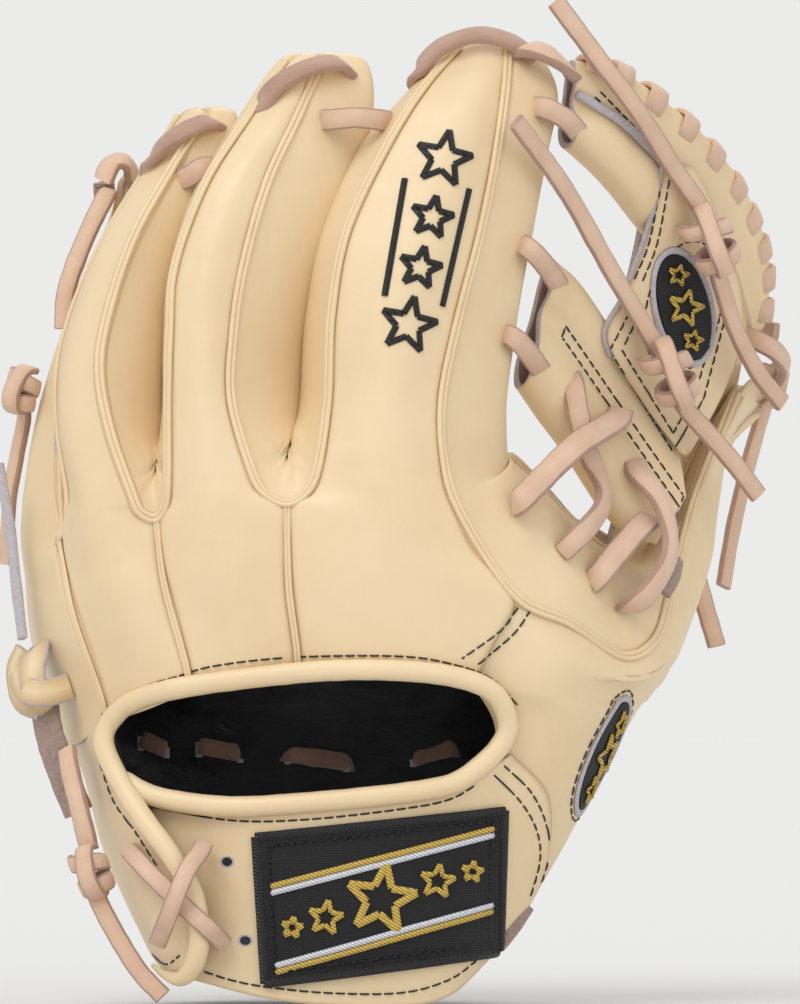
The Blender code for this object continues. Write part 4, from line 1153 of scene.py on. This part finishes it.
def build_laces(hit):
    over = Vector((0, -0.62, 0.78))
    lace_piece("lace_tip_index", [(33.5, -7, 195), (35, -12.5, 200), (41.5, -13.8, 206.4),
        (52, -13, 209.6), (62, -11.5, 207.4), (68.5, -8, 203.5)], ["tip_lace_index"], over,
        flip=True)
    lace_piece("lace_tip_middle", [(-13, -12, 184), (-12.5, -18.6, 188.5), (-8, -19.3, 194.6),
        (1, -17.0, 199.6), (9.5, -13.4, 201.2), (13.5, -8, 198.5)], ["tip_lace_middle"], over,
        flip=True)
    lace_piece("lace_tip_ring", [(-46.5, -3, 168), (-45.5, -10, 172.5), (-41, -13.3, 177.6),
        (-34.5, -13.6, 181.6), (-29, -10.4, 183.6), (-26, -5, 182.5)], ["tip_lace_ring"], over,
        flip=True)
    lace_piece("lace_tip_pinky", [(-60.5, 19, 162), (-60.5, 13, 167), (-58, 14.5, 172),
        (-54, 16, 172), (-51.5, 20, 166)], ["tip_lace_pinky"], over)
    lace_piece("lace_tip_to_web", [(63, -6, 204), (67.5, -14.5, 205.2), (73, -17, 203.4),
        (78.5, -11, 199.5), (82, -1, 195)], (), Vector((0.1, -0.7, 0.75)), width=6.4, thick=3.0)
    lace_piece("lace_between_middle_index", [(6, -19, 184), (9, -24.5, 184), (15, -26, 184.5),
        (21, -25.8, 184), (25, -20, 183.5)], ["lace_middle_index"])
    lace_piece("lace_between_ring_middle", [(-37, -16, 166), (-34, -19.5, 167.5),
        (-31, -21.5, 169.5), (-28, -19, 170)], ["lace_ring_middle"])
    lace_piece("lace_web_top", [(69, -15, 188), (72.5, -20, 187.3), (78.5, -16, 184),
        (82, -8.5, 180.5), (85, 0, 178)], ["web_lace_top"])
    lace_piece("lace_web_upper", [(64.5, -20, 147), (67.6, -25, 145), (71.5, -20, 141),
        (75, -9, 136.5), (76.5, 0, 134)], ["web_lace_upper"])
    lace_piece("lace_web_lower", [(59.5, -21, 120), (62.3, -26.5, 119), (66, -21, 115.5),
        (69.5, -11, 111), (71.5, -2, 108.5)], ["web_lace_lower"])
    lace_piece("lace_crotch_a", [(80.5, 6, 107), (81, -2, 103), (82, -6, 96), (84, -7, 86),
        (88, -7, 78), (89.5, -13, 70), (85.5, -23, 63.5), (80, -32, 58), (77, -30, 55)],
        ["crotch_lace_a"], [Vector((-0.3, -1, 0)), Vector((0.1, -1, 0)), Vector((0.7, -0.8, 0)),
        Vector((0.9, -0.4, 0.3)), Vector((0.5, -0.8, 0.5))], hit)
    lace_piece("lace_crotch_b", [(95, 12, 97), (93.6, 2, 94.5), (88, -9, 91), (82, -16, 87.5),
        (75, -26, 81), (68, -36, 74), (64.5, -40, 70.5), (63, -36, 69)], ["crotch_lace_b"],
        Vector((0, -1, 0.35)), hit, width=7.6)
    lace_piece("lace_crotch_c", [(99, 12, 82), (99.6, 4, 79), (105, -1, 73), (108.5, -4, 65),
        (109.5, -9, 55), (105.5, -17, 46.5), (99.5, -21.5, 39.5), (96, -17, 38)],
        ["crotch_lace_c"], [Vector((0, -1, 0.3)), Vector((0.7, -0.8, 0)), Vector((0.9, -0.6, 0)),
        Vector((0.5, -0.8, 0))], hit, width=6.8)
    lace_piece("lace_crotch_d", [(104, 6, 65), (101, -6, 63), (96.5, -14, 58), (92, -21.5, 53),
        (88.5, -27, 48.5), (86, -24, 46)], ["crotch_lace_d"], Vector((0, -1, 0.3)), hit, width=7.2)
    lace_piece("lace_strap_under", [(-52, -31, -34), (-50.5, -38, -35.5), (-45, -43, -41),
        (-38, -49, -47.5), (-32, -53, -53), (-27, -52, -57.5), (-24, -44, -61)],
        ["strap_lace_under"], hit=hit, width=5.6)
    lace_piece("lace_strap_over", [(-30, -43, -32), (-31, -50, -34), (-34.5, -55, -39),
        (-37.5, -57, -46), (-41, -52, -55), (-43.5, -42, -61)], ["strap_lace_over"], width=5.6)
    stub = Build()
    add_lace(stub, laid([(111, -1, 53), (110, -7, 48), (107, -10, 43)], hit),
             Vector((0.6, -1, 0)))
    add_lace(stub, [(57.5, -25, -62), (61, -22.5, -58), (66, -18.5, -50.5)],
        Vector((0.3, -1, 0.2)), 5.4, 2.2)
    stub.piece("lace_stubs", [TAN_SUEDE, TAN_SUEDE], "lace", sharp=LACE_SHARP)
    tip = Build()
    add_lace(tip, [(132, 62, 121), (137, 54, 119), (143, 56, 115.5), (146, 66, 111),
        (143, 74, 106), (136, 74, 103)], [BACK, Vector((0.6, -1, 0.2)), Vector((1, -0.3, 0.3))])
    knot_into(tip, (142, 78, 105), (-0.3, 0, -1), (0.6, -1, 0), 0.75)
    tip.piece("lace_thumb_tip", RAWHIDE, "lace", "knot_thumb_tip", sharp=LACE_SHARP)


WRAPS = [(86, 201.6), (94.6, 199.6), (104.6, 193.2), (114.4, 185.2), (122.6, 176.6),
    (129.6, 167.0), (134.6, 157.6), (137.9, 148.4), (139.4, 139), (138.9, 129), (137.6, 122)]


def build_whip():
    """The lace over the web's top edge: straight over the edge behind, slanting on in front."""
    count = len(WRAPS) - 1
    points = []
    hints = []
    for k in range(count * WHIP_STEPS):
        turn, phase = divmod(k, WHIP_STEPS)
        part = phase / WHIP_STEPS
        angle = 2 * math.pi * (part - 0.25)
        slant = smooth((part - 0.42) / 0.34)
        place = (turn + slant) / count
        x, z = flat_line(WRAPS, place)
        x1, z1 = flat_line(WRAPS, min(place + 0.03, 1))
        x0, z0 = flat_line(WRAPS, max(place - 0.03, 0))
        top = web_point(x, z, 0)
        out = (web_point(x, z, 1) - top).normalized()
        along = (web_point(x1, z1, 0) - web_point(x0, z0, 0)).normalized()
        inward = out.cross(along).normalized()
        if inward.z > 0:
            inward = -inward
        across = math.copysign(abs(math.sin(angle)) ** 0.6, -math.sin(angle))
        up = math.copysign(abs(math.cos(angle)) ** 0.8, math.cos(angle))
        points.append(top + inward * (2.7 - 4.1 * up) + out * 3.9 * across)
        hints.append((-inward * up + out * 1.2 * across).normalized())
    build = Build()
    add_lace(build, points, hints, WHIP_WIDTH, WHIP_THICK, spacing=1.3, slots=(0, 0))
    build.piece("web_whip", RAWHIDE, "lace", "web_whip_lace", sharp=LACE_SHARP)


def build_knots():
    for name, centre, along, out, size, node_name in (("knot_upper", (122.5, 16, 147.5),
        (0.45, 0.3, -1), (0.2, -1, 0), 1.32, "knot_web_upper"), ("knot_lower", (110.4, 9.5, 107.5),
        (0.45, 0.3, -1), (0.2, -1, 0), 1.3, "knot_web_lower"), ("knot_at_flap", (-63, -29, -41),
        (0.4, 0, -1), (-0.2, -1, 0), 0.95, "knot_flap"), ("knot_at_pinky", (-85.5, 19, 103),
        (-0.2, 0, -1), (-0.5, -1, 0), 0.85, "knot_pinky_side")):
        build = Build()
        knot_into(build, centre, along, out, size)
        build.piece(name, RAWHIDE, "lace", node_name, sharp=LACE_SHARP)
    build = Build()
    add_lace(build, [(-79, -3, 27), (-80.5, -10, 24.5), (-81.5, -14, 18), (-79.5, -13.5, 11),
        (-76, -9, 8.5)], [Vector((-0.6, -1, 0.3)), Vector((-0.4, -1, 0)), Vector((0, -1, -0.4))],
        8.6, 2.0)
    add_lace(build, [(-85, -3, 23), (-86, -8, 18.5), (-82.5, -14.5, 13.5), (-77, -15.5, 13),
        (-70.5, -12, 14.5)], [Vector((-1, -0.4, 0)), Vector((-0.5, -1, 0)),
        Vector((0.2, -1, 0.2))], 8.2, 2.0)
    add_lace(build, [(-84.5, -6, 26), (-87, -5, 19), (-84.5, -7, 10.5), (-79, -8, 8)],
             [Vector((-1, -0.5, 0)), Vector((-0.8, -0.8, 0)), Vector((-0.2, -1, 0))], 7.2, 2.0)
    build.piece("knot_heel", [CREAM, SUEDE], "shell_leather", "knot_pinky_heel",
                sharp=LACE_SHARP)
    build = Build()
    add_lace(build, [(-78, -6, 10), (-76.5, -11, 1), (-72.5, -13, -11), (-67.5, -14, -23)],
             Vector((-0.6, -1, 0)), 9.5, 2.4)
    build.piece("strap_end_suede", [TAN_SUEDE, TAN_SUEDE], "lace", sharp=LACE_SHARP)
    build = Build()
    add_lace(build, [(-71, -16, -4), (-70, -20.5, -10), (-67.5, -24, -20), (-64, -26, -34)],
             Vector((-0.5, -1, 0)), 6, 2.2)
    build.piece("lace_pinky_down", RAWHIDE, "lace", sharp=LACE_SHARP)


# ---------------------------------------------------------------- stitches and patches

def on_skin(hit, x, z, turn=0.0):
    """The leather at x and z, as seen from the back or from a view turned round to the thumb."""
    a = math.radians(turn)
    way = Vector((-math.sin(a), math.cos(a), 0))
    across = Vector((math.cos(a), math.sin(a), 0))
    place, normal, _, _ = hit.ray_cast(across * x - way * FAR + UP * z, way)
    if place is None:
        return None, None
    if normal.dot(way) > 0:
        normal = -normal
    return place, normal


def projected(hit, line, spacing=0.8, turn=0.0):
    out = []
    for p in route([(x, 0, z) for x, z in line], spacing):
        place, normal = on_skin(hit, p.x, p.z, turn)
        if place is not None:
            out.append((place, normal))
    return out


def stitch_row(build, hit, line, length=3.0, gap=0.45, radius=0.30, turn=0.0):
    """Separate thread stitches along a line on the leather, each dipping in at its ends."""
    places = projected(hit, line, STITCH_STEP, turn)
    if len(places) < 4:
        return
    run = 0.0
    stitch = []
    for (a, na), (b, _) in zip(places, places[1:]):
        step = (b - a).length
        if step > JUMP:
            stitch = []
            run = 0.0
            continue
        if run < length:
            stitch.append((a, na))
        elif stitch:
            add_stitch(build, stitch, radius)
            stitch = []
        run += step
        if run >= length + gap:
            run = 0.0
    add_stitch(build, stitch, radius)


def add_stitch(build, places, radius):
    if len(places) < 3:
        return
    last = len(places) - 1
    points = []
    for k, (p, n) in enumerate(places):
        rise = math.sin(math.pi * (0.08 + 0.84 * k / last))
        points.append(p + n * (radius * (1.5 * rise - 0.55)))
    add_tube(build, points, radius, 6, places[0][1])


def build_stitches(hit):
    build = Build()
    rows = [
        [(-60.5, 6.5), (-49, 14.2), (-38, 18.0), (-25.8, 21.4), (-2.7, 23.9), (28.5, 24.2),
         (45, 21.6), (56, 17.2), (64, 9)],
        [(-47.5, -20.5), (-22, -24.6), (1.2, -24.2), (28.5, -21.2), (43, -18.4), (52, -13.5)],
        [(-61, -8), (-56.7, -19.5), (-50, -28.5), (-43.5, -38.5)],
        [(-45.5, -65), (-41, -67.6), (-36.5, -64.5)],
        [(-33, -68.5), (-22, -72), (-10, -74.2), (8, -75.8), (28.5, -75.8), (42, -72.5),
         (50, -67.5), (56, -61)],
        [(63.5, 38.5), (58, 31.5), (46.5, 23.2)], [(67.5, 38.2), (62, 30.5), (51, 21.2)],
        [(56.5, -11.2), (64.5, -19.5), (69.2, -28), (70.2, -37), (67.2, -48.6)],
        [(59.5, -8.5), (67.5, -16.5), (72.0, -26), (73.0, -35), (70.3, -45)],
    ]
    for line in rows:
        stitch_row(build, hit, line)
    build.piece("stitches_shell", [THREAD], "shell_leather")
    build = Build()
    for line in ([(109.5, 166.8), (105.9, 148), (101.3, 136)], [(107.2, 167), (103.4, 148),
                                                                 (98.8, 136.5)],
                 [(87, 191.3), (102, 176.6)], [(88.6, 192.8), (103, 178.6)]):
        stitch_row(build, hit, line)
    for line in ([(97.5, 127), (91.5, 115.5), (110.8, 85), (116.1, 94), (120.3, 101),
        (126.8, 125)], [(100.2, 126), (95.2, 115.6), (110.9, 90.6), (118, 103.5), (124, 124)],
        [(78.2, 122.7), (114, 71.7), (112.7, 68.4), (77.0, 119.4), (78.2, 122.7)]):
        for corners in zip(line, line[1:]):
            stitch_row(build, hit, corners)
    stitch_row(build, hit, oval((114.2, 128.6), 11.4, 20.4, -13, 40))
    build.piece("stitches_web", [THREAD], "web_leather")


def turner(centre, degrees):
    """Turns places (u, v) about (0, 0) and moves them to a centre."""
    c, s = math.cos(math.radians(degrees)), math.sin(math.radians(degrees))
    return lambda u, v: (centre[0] + u * c - v * s, centre[1] + u * s + v * c)


def oval(centre, half_width, half_height, lean, count):
    at = turner(centre, lean)
    return [at(half_width * math.cos(a), half_height * math.sin(a))
            for a in [2 * math.pi * k / count for k in range(count + 1)]]


def star(centre, radius, lean):
    out = []
    for k in range(11):
        r = radius if k % 2 == 0 else radius * 0.42
        angle = math.radians(lean) + math.pi * k / 5
        out.append((centre[0] + r * math.sin(angle), centre[1] + r * math.cos(angle)))
    return out


def satin_line(build, hit, line, width, lift, slot=0, turn=0.0):
    """Raised satin stitch along a smooth line that lies on the leather or on a patch."""
    places = projected(hit, line, 1.0, turn)
    if len(places) > 2:
        add_lace(build, [p + n * lift for p, n in places], [n for _, n in places], width, 0.9,
                 spacing=1.0, ragged=0.0, slots=(slot, slot))


def satin_corners(build, hit, line, width, lift, slot=0, turn=0.0):
    """Satin stitch from corner to corner."""
    for a, b in zip(line, line[1:]):
        satin_line(build, hit, [a, b], width, lift, slot, turn)


def patch_grid(build, hit, inside, lift, count, turn=0.0):
    """A patch laid on the leather: inside maps (u, v) from 0 to 1 to a place (x, z)."""
    index = {}
    verts = []
    for j in range(count + 1):
        for i in range(count + 1):
            place, normal = on_skin(hit, *inside(i / count, j / count), turn)
            if place is not None:
                index[i, j] = len(verts)
                verts.append(place + normal * lift)
    faces = []
    for j in range(count):
        for i in range(count):
            face = [index.get(c) for c in ((i, j), (i + 1, j), (i + 1, j + 1), (i, j + 1))]
            if None not in face and LONGEST_PATCH_EDGE > max(
                    (verts[a] - verts[b]).length for a, b in zip(face, face[-1:] + face)):
                faces.append(tuple(face))
    build.add(verts, faces)


def disc_map(centre, half_width, half_height, lean):
    """Maps the unit square onto an oval."""
    at = turner(centre, lean)

    def place(u, v):
        a, b = 2 * u - 1, 2 * v - 1
        return at(a * math.sqrt(max(0.0, 1 - b * b / 2)) * half_width,
                  b * math.sqrt(max(0.0, 1 - a * a / 2)) * half_height)
    return place


THUMB_OVAL = (35.0, -6.0)     # its centre in the turned view
PATCH = ((-14.1, -29.4), (59.1, -21.6), (57.6, -63.9), (-11.4, -73.0))


def patch_place(u, v):
    """A place on the strap's patch: u from its left to its right, v from its foot to its top."""
    tl, tr, br, bl = (Vector(p) for p in PATCH)
    p = bl.lerp(br, u).lerp(tl.lerp(tr, u), v)
    return p.x, p.y


def build_patches(hit):
    build = Build()
    patch_grid(build, hit, patch_place, 1.5, 60)
    thicken(build.piece("strap_patch_cloth", [TWILL], "patch", "strap_patch"), 1.4)
    build = Build()
    border = [patch_place(u, v) for u, v in ((0, 0), (1, 0), (1, 1), (0, 1), (0, 0))]
    satin_corners(build, hit, border, 2.6, 1.6)
    near_u, near_v = 0.045, 0.07
    far_u, far_v = 1 - near_u, 1 - near_v
    inset = [patch_place(u, v) for u, v in ((near_u, near_v), (far_u, near_v), (far_u, far_v),
        (near_u, far_v), (near_u, near_v))]
    raised = Build()
    for corners in zip(inset, inset[1:]):
        stitch_row(raised, hit, corners, 2.4, 0.5, 0.34)
    build.add([p + Vector((0.1, -1.6, 0)) for p in raised.verts], raised.faces)
    build.piece("strap_patch_border", [BORDER], "patch")
    build = Build()
    for v0, v1, slot in ((0.655, 0.885, 0), (0.61, 0.84, 1), (0.115, 0.345, 1), (0.07, 0.30, 0)):
        satin_line(build, hit, [patch_place(0.05, v0), patch_place(0.955, v1)], 1.75, 1.75, slot)
    satin_corners(build, hit, star(patch_place(0.5, 0.48), 10.5, 8), 2.3, 1.8)
    for u, v, r in ((0.27, 0.40, 5.2), (0.73, 0.56, 5.2), (0.13, 0.36, 3.2), (0.87, 0.60, 3.2)):
        satin_corners(build, hit, star(patch_place(u, v), r, 8), 1.5, 1.8)
    build.piece("strap_patch_motif", [GOLD, WHITE], "patch")
    for name, centre, half, lean, view, nodes in (
            ("web_oval", (113.9, 128.7), (7.7, 16.2), 13, 0, ()),
            ("thumb_oval", THUMB_OVAL, (10.0, 16.5), -18, THUMB_VIEW, ("thumb_patch",))):
        build = Build()
        patch_grid(build, hit, disc_map(centre, *half, lean), 0.7, 34, view)
        thicken(build.piece(name + "_cloth", [TWILL], "patch", *nodes), 0.9)
        build = Build()
        ring = oval(centre, half[0] + 1.1, half[1] + 1.2, lean, 48)
        satin_line(build, hit, ring, 2.2, 0.35, 0, view)
        satin_corners(build, hit, star(centre, half[0] * 0.72, lean), 1.5, 1.25, 1, view)
        for up in (-1, 1):
            place = turner(centre, lean)(0, up * 0.62 * half[1])
            satin_corners(build, hit, star(place, half[0] * 0.42, lean), 1.1, 1.25, 1, view)
        build.piece(name + "_ring", [SUEDE, GOLD], "patch")
    build = Build()
    stitch_row(build, hit, oval(THUMB_OVAL, 13.4, 20.0, -18, 48), turn=THUMB_VIEW)
    build.piece("thumb_oval_stitches", [THREAD], "patch")
    build = Build()
    for x, z, r in ((41.5, 172, 8.5), (38, 154.5, 6.4), (34.5, 139.5, 6.4), (31, 122.5, 8.5)):
        satin_corners(build, hit, star((x, z), r, 12), 1.9, 0.3)
    for line in ([(49, 163), (41, 128)], [(30, 166), (24, 131)]):
        satin_line(build, hit, line, 2.0, 0.3)
    build.piece("index_embroidery", [BLACK_SATIN], "shell_leather")


def build_eyelets(hit):
    """The strap's spare lace holes: dark inside a pale worn rim."""
    build = Build()
    for x, z in ((-22.8, -36.9), (-17.4, -60.3)):
        for radius, lift, slot in ((2.3, 0.08, 0), (1.65, 0.16, 1)):
            place, normal = on_skin(hit, x, z)
            side = normal.cross(UP).normalized()
            up = side.cross(normal)
            ring = [place + normal * lift + side * radius * math.cos(a)
                    + up * radius * 0.8 * math.sin(a)
                    for a in [2 * math.pi * k / 20 for k in range(20)]]
            build.add(ring, [tuple(range(20))], slot)
    build.piece("strap_holes", [SUEDE, LINING], "shell_leather")


# ---------------------------------------------------------------- the studio

def build_studio():
    scene = bpy.context.scene
    scene.view_settings.view_transform = "Standard"
    world = bpy.data.worlds.new("studio")
    scene.world = world
    world.use_nodes = True
    tree = world.node_tree
    ground = tree.nodes["Background"]
    ground.inputs["Color"].default_value = (0.62, 0.62, 0.62, 1)
    seen = tree.nodes.new("ShaderNodeBackground")
    seen.inputs["Color"].default_value = (0.83, 0.83, 0.825, 1)
    blend = tree.nodes.new("ShaderNodeMixShader")
    ray = tree.nodes.new("ShaderNodeLightPath")
    tree.links.new(ray.outputs["Is Camera Ray"], blend.inputs[0])
    tree.links.new(ground.outputs[0], blend.inputs[1])
    tree.links.new(seen.outputs[0], blend.inputs[2])
    tree.links.new(blend.outputs[0], tree.nodes["World Output"].inputs["Surface"])
    floor_z = cad_box[0][2] - FLOOR_GAP_M
    bpy.ops.mesh.primitive_plane_add(size=FLOOR_SIZE_M, location=(0, 0, floor_z))
    floor = bpy.context.object
    floor.name = "floor"
    floor.data.materials.append(principled("floor_pale", (0.725, 0.725, 0.72), 0.9)[0])
    for name, azimuth, elevation, strength, angle in (
            ("key", -38, 50, 1.15, 40), ("fill", 48, 18, 0.40, 60), ("front", 0, 20, 0.35, 70),
            ("rim", 165, 55, 0.6, 40)):
        light = bpy.data.lights.new(name, "SUN")
        light.energy = strength
        light.angle = math.radians(angle)
        lamp = bpy.data.objects.new(name, light)
        scene.collection.objects.link(lamp)
        a, e = math.radians(azimuth), math.radians(elevation)
        way = Vector((math.sin(a) * math.cos(e), -math.cos(a) * math.cos(e), math.sin(e)))
        lamp.rotation_euler = way.to_track_quat("Z", "Y").to_euler()
        lamp.location = way * 2
    camera = bpy.data.cameras.new("camera")
    camera.sensor_width = 36.0
    camera.lens = CAMERA_LENS
    camera.clip_start = 0.1
    camera.clip_end = 50
    eye = bpy.data.objects.new("camera", camera)
    eye.location = CAMERA_PLACE_M
    eye.rotation_euler = (math.radians(90), 0, 0)
    scene.collection.objects.link(eye)
    scene.camera = eye


build_studio()
build_tails()
build_shell()
build_wrist()
build_web()
whole = Build()
for verts, faces in SKINS:
    whole.add(verts, faces)
skins = BVHTree.FromPolygons(whole.verts, whole.faces)
build_welts(skins)
build_inside()
build_laces(skins)
build_whip()
build_knots()
build_stitches(skins)
build_patches(skins)
build_eyelets(skins)
